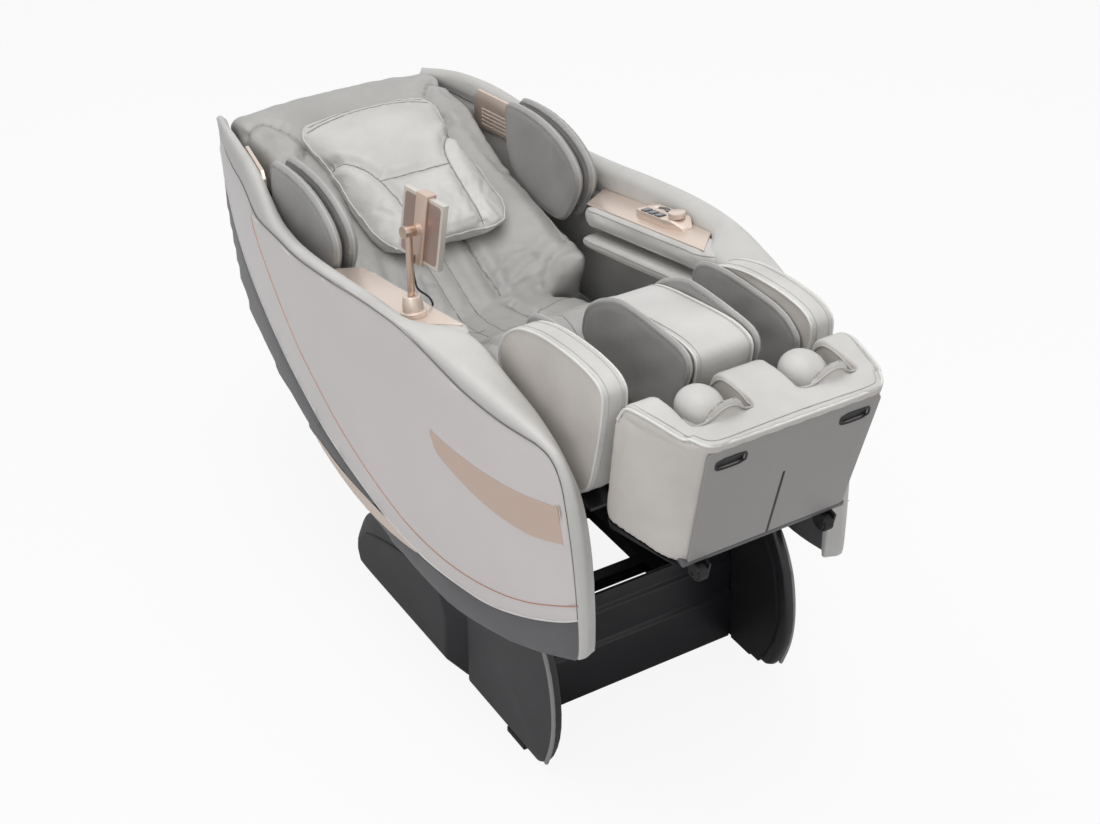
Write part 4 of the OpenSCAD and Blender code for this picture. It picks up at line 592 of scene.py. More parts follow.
def applied(piece):
    """The piece with its modifiers made part of its mesh."""
    seen = piece.evaluated_get(bpy.context.evaluated_depsgraph_get())
    mesh = bpy.data.meshes.new_from_object(seen)
    piece.modifiers.clear()
    old, piece.data = piece.data, mesh
    bpy.data.meshes.remove(old)
    mesh.shade_smooth()
    return piece


def softened(bm, verts, rounds):
    for _ in range(rounds):
        bmesh.ops.smooth_vert(bm, verts=verts, factor=0.5, use_axis_x=True, use_axis_y=True, use_axis_z=True)


def remeshed(bm, voxel, rounds=0):
    """The solid rebuilt in even small quads, its edges softened."""
    bmesh.ops.triangulate(bm, faces=bm.faces)
    mesh = bpy.data.meshes.new("clay")
    bm.to_mesh(mesh)
    bm.free()
    clay = bpy.data.objects.new("clay", mesh)
    scene.collection.objects.link(clay)
    step = clay.modifiers.new("remesh", "REMESH")
    step.mode = "VOXEL"
    step.voxel_size = voxel
    applied(clay)
    bm = bmesh.new()
    bm.from_mesh(clay.data)
    bpy.data.objects.remove(clay)
    softened(bm, bm.verts, rounds)
    return bm


def sewn(bm, seams, width=0.012, depth=0.004, pucker=0.0, swell=0.0, seed=1, shade=1.0):
    """Pulls the surface in along seams, with gathers beside them, and stores painted shade near each seam in the
    seam attribute.
    """
    layer = bm.verts.layers.float.get("seam") or bm.verts.layers.float.new("seam")
    points = [Vector(p) for seam in seams for p in seam]
    tree = tree_of(points)
    draw = random.Random(seed)
    waves = [(draw.uniform(60, 190), draw.uniform(0, 6.3)) for _ in range(3)]
    bm.normal_update()
    moves = []
    for v in bm.verts:
        near, i, d = tree.find(v.co)
        if d > 4 * width:
            continue
        share = d / width
        fall = -depth * math.exp(-share * share)
        if swell:
            fall += swell * math.exp(-(share - 2.2) ** 2)
        if pucker and share < 3.5:
            along = i * 0.01
            wave = sum(math.sin(along * k + b) for k, b in waves) / 3
            fall += pucker * wave * math.exp(-(share - 1) ** 2 / 2.5)
        moves.append((v, v.normal * fall))
        # painted shade along the seam, stored for the leather's colour
        v[layer] = max(v[layer], shade * math.exp(-(d / 0.0035) ** 2))
    for v, move in moves:
        v.co += move


def onto(bm, points, lift=0.0):
    """Points laid on the nearest place of a surface."""
    tree = BVHTree.FromBMesh(bm)
    out = []
    for p in points:
        spot, normal, _, _ = tree.find_nearest(Vector(p))
        out.append(spot + normal * lift)
    return out


def wall_ring(row):
    """The wall's section at one station: x, y and z from the shell's seam round to its back."""
    seam, crest, inner, foot = at_side([row[0:2], row[2:4], row[5:7], row[7:9]])
    out, lining = outer_x(seam[0]), wall_x(seam[0])
    edge = lining - row[4]
    wide = out - edge
    spots = [(out - 0.0100, seam.lerp(foot, 0.10)), (out - 0.0085, seam), (out - 0.0030, seam.lerp(crest, 0.07)),
             (out - 0.0012, seam.lerp(crest, 0.30)), (out - 0.0035, seam.lerp(crest, 0.70)),
             (out - 0.0110, seam.lerp(crest, 0.96)), (out - 0.0060 - wide * 0.30, crest),
             (edge + wide * 0.36, crest.lerp(inner, 0.45)), (edge + wide * 0.12, inner.lerp(crest, 0.10)),
             (edge + 0.0015, inner.lerp(foot, 0.015)), (edge, inner.lerp(foot, 0.060)),
             (edge + (lining - edge) * 0.30, inner.lerp(foot, 0.16)),
             (edge + (lining - edge) * 0.75, inner.lerp(foot, 0.40)),
             (lining, inner.lerp(foot, 0.70)), (lining, inner.lerp(foot, 0.96)), (lining + 0.004, foot),
             (out - 0.0130, foot)]
    return flowing([(x, *p) for x, p in spots], 0.004, closed=False, passes=2)


def wall_body():
    """A grid whose rows are the sections, joined along its back and shut at both ends."""
    rings = [wall_ring(row) for row in wall_stations]
    count = 54
    bm = bmesh.new()
    bmesh.ops.create_grid(bm, x_segments=len(rings) - 1, y_segments=count, size=0.5)
    for v in bm.verts:
        ring = rings[round((v.co.x + 0.5) * (len(rings) - 1))]
        at = (v.co.y + 0.5) * (len(ring) - 1)
        i = min(int(at), len(ring) - 2)
        v.co = ring[i].lerp(ring[i + 1], at - i)
    edges = [e for e in bm.edges if e.is_boundary and abs(e.verts[0].co.y - e.verts[1].co.y) +
             abs(e.verts[0].co.z - e.verts[1].co.z) > 0]
    bmesh.ops.holes_fill(bm, edges=edges)
    bmesh.ops.triangulate(bm, faces=[f for f in bm.faces if len(f.verts) > 4])
    bmesh.ops.recalc_face_normals(bm, faces=bm.faces)
    softened(bm, [v for v in bm.verts if not v.is_boundary], 2)
    return bm


for side, turn in both:
    bm = wall_body()
    roll, join = [], []
    for row in wall_stations:
        seam, inner, foot = at_side([row[0:2], row[5:7], row[7:9]])
        join.append((outer_x(seam[0]) - 0.0030, *seam.lerp(at_side([row[2:4]])[0], 0.07)))
        if row[0] > 0.33:
            roll.append((wall_x(inner[0]), *inner.lerp(foot, 0.15)))
    sewn(bm, [roll], 0.010, 0.004, 0.0006, 0.0012, seed=11)
    seam_line = onto(bm, roll, 0.0006)
    if turn < 0:
        mirrored(bm)
    bm.normal_update()
    place(bm, f"wall_leather_{side}", "wall", "chair", "wall_leather", [f"wall_pad_{side}"], 60)
    for points, radius, name in ((seam_line, 0.0014, "roll"), (join, 0.0011, "shell")):
        place(line([(turn * x, y, z) for x, y, z in points], radius), f"wall_{name}_seam_{side}", "thread",
              "chair", "pad_leather")


# ---------- back and seat ----------
# Deep foam cushions under one leather cover, sewn in channels down the spine. A curved
# seam parts off the head end's wings, and the cover folds where the back meets the seat.
def tilted(y, z, degrees):
    """A frame on the chair's middle plane, turned about the cross axis."""
    return Matrix.Translation((0, y, z)) @ Matrix.Rotation(math.radians(degrees), 4, "X")


hip = tilted(0.12298, 0.60002, 19)


def stuffed(bm, voxel, cap, rounds=3, hold=None, force=4.0):
    """The pad swollen by a cloth simulation, no point moved further than the cap."""
    bm = remeshed(bm, voxel, rounds)
    mesh = bpy.data.meshes.new("stuffing")
    bm.to_mesh(mesh)
    pad = bpy.data.objects.new("stuffing", mesh)
    scene.collection.objects.link(pad)
    cloth = pad.modifiers.new("stuffing", "CLOTH")
    cloth.settings.use_pressure = True
    cloth.settings.uniform_pressure_force = force * 1.4
    cloth.settings.effector_weights.gravity = 0
    cloth.settings.quality = 4
    for step in range(1, 13):
        scene.frame_set(step)
    applied(pad)
    bm.verts.ensure_lookup_table()
    for v, swollen in zip(bm.verts, pad.data.vertices):
        move = swollen.co - v.co
        if move.length > cap:
            move *= cap / move.length
        v.co += move * (hold(v.co) if hold else 1)
    bpy.data.objects.remove(pad)
    scene.frame_set(1)
    softened(bm, bm.verts, 2)
    return bm


def draped(bm, matrix, points, step=0.006, lift=0.0, high=0.5):
    """A line drawn in plan on a pad's face."""
    tree = BVHTree.FromBMesh(bm)
    way = (matrix.to_3x3() @ Vector((0, 0, -1))).normalized()
    out = []
    for p in flowing(points, step, closed=False):
        spot, normal, _, _ = tree.ray_cast(matrix @ Vector((p[0], p[1], high)), way)
        if spot is not None:
            out.append(spot + normal * lift)
    return out


def both_x(points):
    return [points, [(-x, y) for x, y in points]]


def threads(name, bm, seams, body, paint, radius=0.0011):
    """A thread in each seam, laid on the finished surface."""
    for i, seam in enumerate(seams):
        if len(seam) > 3:
            place(line(onto(bm, seam), radius, sides=1), f"{name}_{i + 1}", "thread", body, paint)


def side_hold(co):
    local = hip.inverted() @ co
    return max(0.25, min(1.0, (0.248 - abs(local.x)) / 0.03, (local.z + 0.075) / 0.05))


# The back's leather is the same light grey leather as the walls, made darker as painted shade; its piping, the
# calf wells and the foot wells use it too.
looks["back"] = leather("leather_back_painted_shade", "afaeab", "7b7a78")
upright = Matrix.Identity(4)
cover = stuffed(copied("back_cushion", "seat_cushion"), 0.0068, 0.012, 4, side_hold)
for rounds, reach in ((16, 0.085), (14, 0.050)):
    near = [v for v in cover.verts if abs(v.co.y - 0.118) < reach and v.co.z > 0.56]
    softened(cover, near, rounds)


def run_down(back_part, seat_part):
    """A seam that comes down the back and runs on over the seat."""
    return draped(cover, hip, back_part) + draped(cover, upright, seat_part, high=1.2)


spine = run_down([(0.044, 0.560), (0.044, 0.160), (0.044, 0.030)],
                 [(0.044, 0.110), (0.052, 0.040), (0.060, -0.296)])
inner_line = run_down([(-0.024, 0.560), (-0.024, 0.160), (-0.026, 0.030)],
                      [(-0.028, 0.110), (-0.034, 0.040), (-0.040, -0.296)])
outer_line = run_down([(-0.066, 0.560), (-0.067, 0.160), (-0.068, 0.030)],
                      [(-0.070, 0.110), (-0.074, 0.040), (-0.080, -0.296)])
wings = [draped(cover, hip, each) for each in both_x([
    (0.247, 0.668), (0.224, 0.678), (0.202, 0.668), (0.174, 0.632), (0.156, 0.590), (0.158, 0.550),
    (0.176, 0.522)])]
corners = [draped(cover, hip, each) for each in both_x([
    (0.243, 0.330), (0.244, 0.200), (0.240, 0.120), (0.230, 0.085)])]
seat_sides = [draped(cover, upright, each, high=1.2) for each in both_x([
    (0.192, 0.040), (0.190, -0.040), (0.186, -0.296)])]
cross = [draped(cover, upright, each, high=1.2) for each in both_x([
    (0.192, 0.100), (0.150, 0.078), (0.100, 0.052), (0.062, 0.030)])]
sewn(cover, [spine], 0.012, 0.0085, 0.0012, 0.0030, seed=3)
sewn(cover, [inner_line, outer_line], 0.008, 0.0040, 0.0008, 0.0012, seed=4, shade=0.6)
sewn(cover, wings, 0.013, 0.0095, 0.0020, 0.0024, seed=5)
sewn(cover, corners + seat_sides, 0.010, 0.0050, 0.0012, 0.0014, seed=9, shade=0.8)
sewn(cover, cross, 0.006, 0.0024, 0.0004, 0.0006, seed=8, shade=0.5)
deep_folds = [
    [(0.15, 0.02), (0.172, 0.052), (0.205, 0.064), (0.232, 0.06)], [(0.08, 0.06), (0.11, 0.078), (0.15, 0.084)],
    [(0.066, 0.03), (0.096, 0.034), (0.128, 0.022)], [(-0.11, 0.17), (-0.118, 0.11), (-0.14, 0.05), (-0.15, 0)],
    [(-0.09, 0.12), (-0.1, 0.07), (-0.124, 0.02)], [(-0.15, 0.2), (-0.168, 0.13), (-0.19, 0.07)],
    [(-0.205, 0.18), (-0.216, 0.1), (-0.226, 0.04)]]
sewn(cover, [draped(cover, hip, each, 0.004) for each in deep_folds], 0.010, 0.0034, 0, 0.0020, seed=6,
    shade=0.12)
draw = random.Random(21)
folds = []
for _ in range(14):
    b = draw.uniform(0.16, 0.52)
    folds += both_x([(0.246, b), (0.232, b + draw.uniform(-0.01, 0.01)),
        (0.208, b + draw.uniform(-0.02, 0.02))])
for _ in range(10):
    x, b, lean = draw.uniform(0.07, 0.20), draw.uniform(-0.01, 0.12), draw.uniform(-0.02, 0.02)
    folds += both_x([(x - 0.025, b - lean), (x, b + 0.003), (x + 0.025, b + lean)])
sewn(cover, [draped(cover, hip, each, 0.004) for each in folds], 0.006, 0.0013, 0, 0.0007, seed=7, shade=0.15)
threads("cover_thread", cover, [spine, inner_line, outer_line] + cross, "chair", "pad_leather", 0.0009)
for side, corner in zip(("left", "right"), corners):
    place(line(onto(cover, corner, 0.0002), 0.0018), f"cover_piping_{side}", "back", "chair", "pad_leather")
cover_piece = place(cover, "cushion_cover", "back", "chair", "cushion_leather",
    ["back_cushion", "seat_cushion"], 60)
cover_piece.modifiers.new("fine", "SUBSURF").render_levels = 1
cover_piece.modifiers["fine"].levels = 1


# ---------- head pillow ----------
# A loose quilted pillow that lifts on its rear edge: piped all round, two curved seams
# down its face, a cross seam between them and a double seam along its rear edge.
def low_end(p):
    """The pillow's front end hangs lower and is thicker than its rear, and narrower at its edge."""
    share = max(0.0, min(1.0, (0.430 - p[1]) / 0.193))
    spot = Vector(p)
    spot[0] *= 1 - 0.10 * share * share
    spot[1] -= 0.076 * share * share
    if len(p) > 2 and p[2] > 0.03:
        spot[2] += 0.016 * share
    return spot


looks["pillow"] = leather("leather_pillow", "cfcecb", "90908d")
pillow_lines = both_x([(0.166, 0.470), (0.140, 0.452), (0.112, 0.428), (0.090, 0.388), (0.081, 0.340),
                       (0.078, 0.290), (0.080, 0.262), (0.082, 0.245)])
pillow_lines += [[(-0.084, 0.362), (-0.040, 0.359), (0.040, 0.359), (0.084, 0.362)],
                 [(-0.140, 0.582), (-0.060, 0.586), (0.060, 0.586), (0.140, 0.582)],
                 [(-0.150, 0.568), (-0.060, 0.572), (0.060, 0.572), (0.150, 0.568)]]
pillow_lines = [[low_end(p) for p in each] for each in pillow_lines]
pillow_rim = [(0, 0.604), (0.11, 0.603), (0.15, 0.594), (0.169, 0.57), (0.172, 0.5),
    (0.17, 0.42), (0.162, 0.38), (0.167, 0.31), (0.168, 0.268), (0.16, 0.246), (0.13, 0.238),
    (0, 0.237)]
pillow_rim += [(-x, b) for x, b in reversed(pillow_rim[1:-1])]
pillow = copied("head_pillow")
for v in pillow.verts:
    v.co = hip @ low_end(hip.inverted() @ v.co)
pillow = stuffed(pillow, 0.0046, 0.013, 3, force=5.0)
sewn(pillow, [draped(pillow, hip, each) for each in pillow_lines[:3]], 0.012, 0.0090, 0.0014, 0.0030, seed=31)
sewn(pillow, [draped(pillow, hip, each) for each in pillow_lines[3:]], 0.005, 0.0034, 0.0006, 0.0008, seed=32)
soft = []
for i in range(-4, 5):
    for lean in (-1, 1):
        x = 0.026 * i
        soft.append([low_end(p) for p in ((x - lean * 0.030, 0.248), (x, 0.278), (x + lean * 0.030, 0.308))])
sewn(pillow, [draped(pillow, hip, each, 0.004) for each in soft], 0.006, 0.0016, 0, 0.0008, seed=33,
    shade=0.15)
rim = onto(pillow, [hip @ low_end((p[0], p[1], 0.050)) for p in flowing(pillow_rim, 0.005)], 0.0004)
threads("pillow_thread", pillow, [draped(pillow, hip, each) for each in pillow_lines], "pillow",
    "pad_leather")
place(line(rim, 0.0022, closed=True), "pillow_piping", "pillow", "pillow", "pillow_leather")
pillow_piece = place(pillow, "pillow_leather", "pillow", "pillow", "pillow_leather", ["head_pillow"], 60)
pillow_piece.modifiers.new("fine", "SUBSURF").render_levels = 1
pillow_piece.modifiers["fine"].levels = 1


# ---------- shoulder pads ----------
# Two flat leaves a side stand between back and wall: sewn round their edge with a
# double ridge, the outer one fixed to the wall and the inner one hinged on it.
def profile(table, d):
    for (a, p), (b, q) in zip(table, table[1:]):
        if d <= b:
            return p + (q - p) * max(0, d - a) / (b - a)
    return table[-1][1]


leaf_profile = [(0, 0.3), (0.002, 0.62), (0.004, 0.8), (0.0065, 0.84), (0.009, 0.7),
    (0.012, 0.82), (0.02, 0.93), (0.045, 1)]
box_profile = [(0, 0.8), (0.003, 0.93), (0.006, 0.98), (0.009, 0.93), (0.016, 0.96), (0.05, 1)]


def leaf(outline, x, thick, table, voxel=0.0034, matrix=None, wave=0.0, seed=1):
    """A sewn leaf or box pad: its outline (y, z), middle plane x and the swell of its faces."""
    bm = bmesh.new()
    face = bm.faces.new([bm.verts.new((-thick * 0.40, y, z)) for y, z in outline])
    pushed(bm, [face], (thick * 0.80, 0, 0), keep=True)
    bmesh.ops.recalc_face_normals(bm, faces=bm.faces)
    bm = remeshed(bm, voxel, 2)
    distance = distance_to(outline)
    draw = random.Random(seed)
    waves = [(draw.uniform(25, 90), draw.uniform(25, 90), draw.uniform(0, 6)) for _ in range(4)]
    for v in bm.verts:
        d = distance(v.co)
        share = max(-1.0, min(1.0, v.co.x / (thick * 0.37)))
        ripple = wave * sum(math.sin(a * v.co.y + b * v.co.z + c) for a, b, c in waves) / 4
        v.co.x = x + share * (profile(table, d) * thick / 2 + ripple * min(1, d / 0.02))
    if matrix is not None:
        bmesh.ops.transform(bm, matrix=matrix, verts=bm.verts)
    return bm


# The leaves are the same light grey leather as the rest, made darker as painted shade.
looks["dark"] = leather("leather_leaf_painted_shade", "a3a2a0", "747371", 0.47)
looks["edge"] = leather("leather_edge", "b9b9b6", "8b8b88", 0.42)


def leaf_edge(name, outline, x, body, stitch, piping, names, matrix=Matrix.Identity(4)):
    """A stitch on each face, given by inset and height, and a piping, by inset and radius."""
    for face, which in zip((-1, 1), names):
        rim = rim_line(outline, stitch[0], x + face * stitch[1], matrix)
        place(line(rim, 0.0007, closed=True, sides=1), f"{name}_stitch_{which}", "thread", body,
            "pad_leather")
    rim = rim_line(outline, piping[0], x, matrix)
    place(line(rim, piping[1], closed=True), name + "_piping", "edge", body, "pad_leather")


shoulder_shares = [(0.025, 0.6), (0.06, 0.72), (0.14, 0.83), (0.33, 0.95), (0.6, 1),
    (0.93, 0.96), (0.99, 0.9), (1, 0.8), (0.99, 0.45), (0.9, 0.2), (0.76, 0.08), (0.6, 0.02),
    (0.3, 0), (0.21, 0.08), (0.14, 0.2), (0.055, 0.4)]
shoulder = flowing([(0.17595 + 0.312 * s, 0.67701 + 0.214 * t) for s, t in shoulder_shares], 0.006)
for side, turn in both:
    for which, x in (("outer", 0.29992), ("inner", 0.265)):
        node = f"shoulder_{which}_{side}"
        bm = leaf(shoulder, turn * x, 0.024, leaf_profile, wave=0.0012, seed=len(node))
        # darker leaf leather: painted shade
        piece = place(bm, node + "_leaf", "dark", body_of(node), "pad_leather", [node], 60)
        names = ("out", "in") if turn < 0 else ("in", "out")
        leaf_edge(node, shoulder, turn * x, body_of(node), (0.0095, 0.0083), (0.0012, 0.0026), names)
eased("speakers", "gold", 0.0015, "rose_gold", steps=3)


# ---------- armrests ----------
# A rose gold plate over a piped cushion, and below it a thin forearm pad: the arm
# rests between the two.
arm = tilted(-0.26004, 0.84998, -11)
for side, turn in both:
    eased("arm_plate_" + side, "gold", 0.0016, "rose_gold", over=50)
    for node, voxel, drop in (("arm_pad_", 0.0042, 0.0075), ("forearm_pad_", 0.0036, 0.070)):
        bm = stuffed(copied(node + side), voxel, 0.0025, 3)
        tree = BVHTree.FromBMesh(bm)
        rims = [[], []]
        for b in [0.010 * i for i in range(-4, 43)]:
            for level, depth in enumerate((drop + 0.002, drop + (0.0335 if node == "arm_pad_" else 0.017))):
                start = arm @ Vector((0, b, -depth))
                spot = tree.ray_cast(start, (turn, 0, 0))[0]
                if spot is not None:
                    rims[level].append(spot)
        for level, rim in enumerate(rims):
            if len(rim) > 3:
                place(line(rim, 0.0017 if level == 0 else 0.0014), f"{node}piping_{side}_{level + 1}", "edge",
                      "chair", "wall_leather")
        piece = place(bm, f"{node}leather_{side}", "wall", "chair", "wall_leather", [node + side], 60)


# ---------- keypad ----------
# On the sitter's left armrest: a faceted rose gold body, three glossy square keys, a bow
# of four more under glass, and a knurled dial.
looks["glass"] = moulded("glossy_dark_glass", "141a2b", 0.08, 0.0009, 0.01, 1.0)
eased("keypad", "gold", 0.0014, "rose_gold", over=14, steps=2)
for i in (1, 2, 3):
    eased(f"key_{i}", "glass", 0.0016, "key_glass")
pad_at = arm @ Matrix.Translation((0.266 + 0.385 * 0.052, 0.285 * 0.425, 0))
for i in range(4):
    bm = bmesh.new()
    face = bm.faces.new([bm.verts.new((x, 0, z)) for x, z in (
        (0.0240, 0.0156), (0.0332, 0.0156), (0.0332, 0.0178), (0.0240, 0.0178))])
    bmesh.ops.rotate(bm, cent=(0, 0, 0), matrix=Matrix.Rotation(math.radians(-38.5 + 20 * i), 3, "Z"),
        verts=bm.verts)
    near = pushed(bm, [face], keep=True)
    for step in range(4):
        bmesh.ops.rotate(bm, cent=(0, 0, 0), matrix=Matrix.Rotation(math.radians(4.25), 3, "Z"), verts=near)
        if step < 3:
            ends = [f for f in bm.faces if all(v in near for v in f.verts)]
            near = pushed(bm, ends)
    bmesh.ops.recalc_face_normals(bm, faces=bm.faces)
    rounded_edges(bm, 0.0005, 40, 2)
    bmesh.ops.transform(bm, matrix=pad_at @ Matrix.Translation((0.30 * 0.052, 0.640 * 0.158, 0)),
        verts=bm.verts)
    place(bm, f"keypad_bow_{i + 1}", "glass", "chair", "key_glass")


# The dial's rim is fluted.
flutes, flute_share = 24, 0.05
bm = rounded_edges(copied("dial"), 0.0012, 40, 2)
mid = sum((v.co for v in bm.verts), Vector()) / len(bm.verts)
axis = arm.to_3x3() @ Vector((0, 0, 1))
wide = max(((v.co - mid) - axis * (v.co - mid).dot(axis)).length for v in bm.verts)
for v in bm.verts:
    local = arm.to_3x3().inverted() @ (v.co - mid)
    if math.hypot(local.x, local.y) > wide * 0.93:
        k = 1 - flute_share * (0.5 + 0.5 * math.cos(flutes * math.atan2(local.y, local.x)))
        v.co = mid + arm.to_3x3() @ Vector((local.x * k, local.y * k, local.z))
place(bm, "dial_knob", "gold", body_of("dial"), "rose_gold", ["dial"], 30)


# ---------- tablet ----------
# A small tablet on the right armrest: pale rim, brown gold back, a glass front, held by a
# clamp band on a post that turns in a collar.
looks["post"] = brushed("rose_gold_post", "ccb5a4", 0.24, 0.85)
looks["bronze"] = brushed("brown_gold_panel", "a58d82", 0.28, 0.55)
eased("tablet_socket", "gold", 0.0012, "rose_gold")
eased("tablet_post", "post", 0.0010, "rose_gold")
eased("tablet_clamp", "plaque", 0.0012, "rose_gold")
eased("tablet", "pale_gold", 0.0030, "tablet_case", steps=4)
swivel = Matrix.Translation((-0.31199, -0.14938, 1.00095)) @ Matrix.Rotation(math.radians(10), 4, "Z") @ \
    Matrix.Rotation(math.radians(8.7), 4, "Y")
tablet_back = 0.028316
for name, look, x, tall, wide, thick in (
        ("tablet_back_panel", "bronze", tablet_back - 0.00035, 0.114, 0.102, 0.001),
        ("tablet_glass", "glass", tablet_back + 0.0114, 0.116, 0.104, 0.001)):
    bm = bmesh.new()
    bmesh.ops.create_cube(bm, size=1)
    bmesh.ops.scale(bm, vec=(thick, wide, tall), verts=bm.verts)
    bmesh.ops.bevel(bm, geom=[e for e in bm.edges if abs(e.verts[0].co.x - e.verts[1].co.x) > thick / 2],
                    offset=0.007, segments=5, profile=0.5, affect="EDGES", material=-1)
    rounded_edges(bm, 0.0003, 60, 2)
    bmesh.ops.transform(bm, matrix=swivel @ Matrix.Translation((x + thick / 2, 0, 0)), verts=bm.verts)
    place(bm, name, look, "tablet", "tablet_case")


# ---------- leg rest ----------
# Two calf wells between box pads: warm white leather sides with pale piping, a greyer
# gusset, and massage leaves that line each well, given darker leather as painted shade.
kept("steel", "leg_frame")
knee = tilted(-0.33748, 0.70012, 12.8)


def calf(shares, least=None):
    points = [(-0.330 * s, 0.304 * (t if least is None else max(t, least))) for s, t in shares]
    return flowing(points, 0.006)


block_shares = [(-0.082, 0.395), (-0.07, 0.49), (-0.045, 0.576), (0.015, 0.67), (0.09, 0.75),
    (0.27, 0.862), (0.45, 0.93), (0.594, 0.974), (0.72, 0.997), (0.797, 1), (0.855, 0.98),
    (0.89, 0.938), (0.909, 0.79), (0.918, 0.526), (0.909, 0.263), (0.855, 0.16), (0.779, 0.081),
    (0.364, 0.081), (0.2, 0.11), (0.061, 0.197), (-0.04, 0.3)]
centre_shares = [(-0.03, 0.424), (-0.026, 0.56), (0, 0.65), (0.052, 0.716), (0.2, 0.802),
    (0.382, 0.882), (0.56, 0.96), (0.724, 1.022), (0.85, 1.036), (0.893, 1.01), (0.915, 0.94),
    (0.918, 0.526), (0.909, 0.263), (0.855, 0.16), (0.794, 0.081), (0.364, 0.081), (0.2, 0.11),
    (0.061, 0.23)]
inner_shares = [(-0.03, 0.424), (-0.034, 0.52), (-0.025, 0.615), (0.064, 0.75), (0.23, 0.901),
    (0.37, 0.95), (0.521, 0.99), (0.7, 1.03), (0.809, 1.049), (0.88, 1.03), (0.915, 0.964),
    (0.905, 0.86), (0.89, 0.7), (0.86, 0.48), (0.79, 0.345), (0.45, 0.33), (0.18, 0.345),
    (0.03, 0.37)]
outer_shares = [(-0.094, 0.566), (-0.06, 0.65), (0.03, 0.724), (0.16, 0.78), (0.3, 0.822),
    (0.45, 0.862), (0.603, 0.898), (0.7, 0.902), (0.761, 0.888), (0.82, 0.86), (0.851, 0.829),
    (0.87, 0.7), (0.864, 0.56), (0.818, 0.38), (0.5, 0.33), (0.16, 0.34), (-0.02, 0.4),
    (-0.075, 0.47)]


looks["warm"] = leather("leather_warm_white", "d2cdc8", "aba6a0", 0.40)
looks["light"] = leather("leather_light", "cccbc8", "9d9c99")


def box_pad(name, shares, x, thick, nodes, seed):
    outline = calf(shares, 0.083)
    bm = leaf(outline, x, thick, box_profile, 0.0046, knee, wave=0.0010, seed=seed)
    bm.normal_update()
    for f in bm.faces:
        f.material_index = 0 if abs(f.normal.x) > 0.75 else 1
    piece = place(bm, name + "_leather", ["warm", "light"], "leg", "calf_leather", nodes, 60)
    for face in (-1, 1):
        which = "a" if face < 0 else "b"
        rim = rim_line(outline, 0.0030, x + face * thick * 0.468, knee)
        place(line(rim, 0.0025, closed=True), f"{name}_piping_{which}", "piping", "leg", "calf_leather")
        rim = rim_line(outline, -0.0003, x + face * (thick / 2 - 0.0115), knee)
        place(line(rim, 0.0006, closed=True, sides=1), f"{name}_stitch_{which}", "edge", "leg", "calf_leather")


for side, turn in both:
    box_pad("calf_block_" + side, block_shares, turn * 0.215, 0.050, ["calf_block_" + side], 40 + turn)
    for which, shares, x in (("inner", inner_shares, 0.0704), ("outer", outer_shares, 0.1816)):
        outline = calf(shares)
        bm = leaf(outline, turn * x, 0.016, leaf_profile, matrix=knee, wave=0.0010, seed=50 + len(which))
        piece = place(bm, f"calf_leaf_{which}_{side}", "dark", "leg", "pad_leather", ["calf_leaves"], 60)
        leaf_edge(f"calf_leaf_{which}_{side}", outline, turn * x, "leg", (0.0092, 0.0055), (0.001, 0.0022),
            "ab", knee)
box_pad("calf_centre", centre_shares, 0, 0.124, ["calf_centre_block"], 60)


def islands(bm, wanted):
    """Keeps the separate solids whose middle passes the test."""
    bm.verts.ensure_lookup_table()
    seen, drop = set(), []
    for start in bm.verts:
        if start.index in seen:
            continue
        group, edge = [start], [start]
        seen.add(start.index)
        while edge:
            for e in edge.pop().link_edges:
                for v in e.verts:
                    if v.index not in seen:
                        seen.add(v.index)
                        group.append(v)
                        edge.append(v)
        if not wanted(sum((v.co for v in group), Vector()) / len(group)):
            drop += group
    bmesh.ops.delete(bm, geom=drop, context="VERTS")
    return bm


# The calf wells take the back's darker leather: painted shade.
for side, turn in both:
    bm = islands(copied("calf_leaves"), lambda c, turn=turn: 0.10 < turn * c.x < 0.15)
    bm = stuffed(bm, 0.0042, 0.004, 3)
    seams = [draped(bm, knee, [(turn * x, -s) for s in (0.04, 0.12, 0.20, 0.27)]) for x in (0.104, 0.148)]
    sewn(bm, seams, 0.008, 0.004, 0.001, 0.0015, seed=70)
    piece = place(bm, f"calf_well_{side}", "back", "leg", "cushion_leather", ["calf_leaves"], 60)


# ---------- foot rest ----------
# It slides out of the leg rest on two rods. Warm white leather wraps its sides and its
# round front corners; a grey sole panel with two grips is set into the front.
def leg_xyz(v):
    """A vertex's place across, along and up the leg rest."""
    return knee.inverted() @ v.co


def cut_at(bm, level, keep_above):
    sliced(bm, knee @ Vector((0, 0, level)), knee.to_3x3() @ Vector((0, 0, 1)), clear_inner=keep_above,
           clear_outer=not keep_above)
    bmesh.ops.holes_fill(bm, edges=[e for e in bm.edges if e.is_boundary])
    return bm


sole_low = 0.0459
place(cut_at(copied("foot_housing"), sole_low, False), "foot_slide_frame", "steel", "foot", "foot_side",
      ["foot_housing"], 30)
body = cut_at(copied("foot_housing"), sole_low + 0.0005, True)
for node in ("foot_cushion", "sole_panel"):
    body.from_mesh(frame["nodes"][node].data)
bmesh.ops.remove_doubles(body, verts=body.verts, dist=1e-5)
body = remeshed(body, 0.0044, 4)


def half_width(s, n):
    """Half the foot rest's width before its corners are rounded."""
    front = 0.179 + (0.198 - 0.179) * (n - sole_low) / (0.340 - sole_low)
    return 0.227 if s < 0.360 else 0.227 + (front - 0.227) * min(1, (s - 0.360) / 0.126)


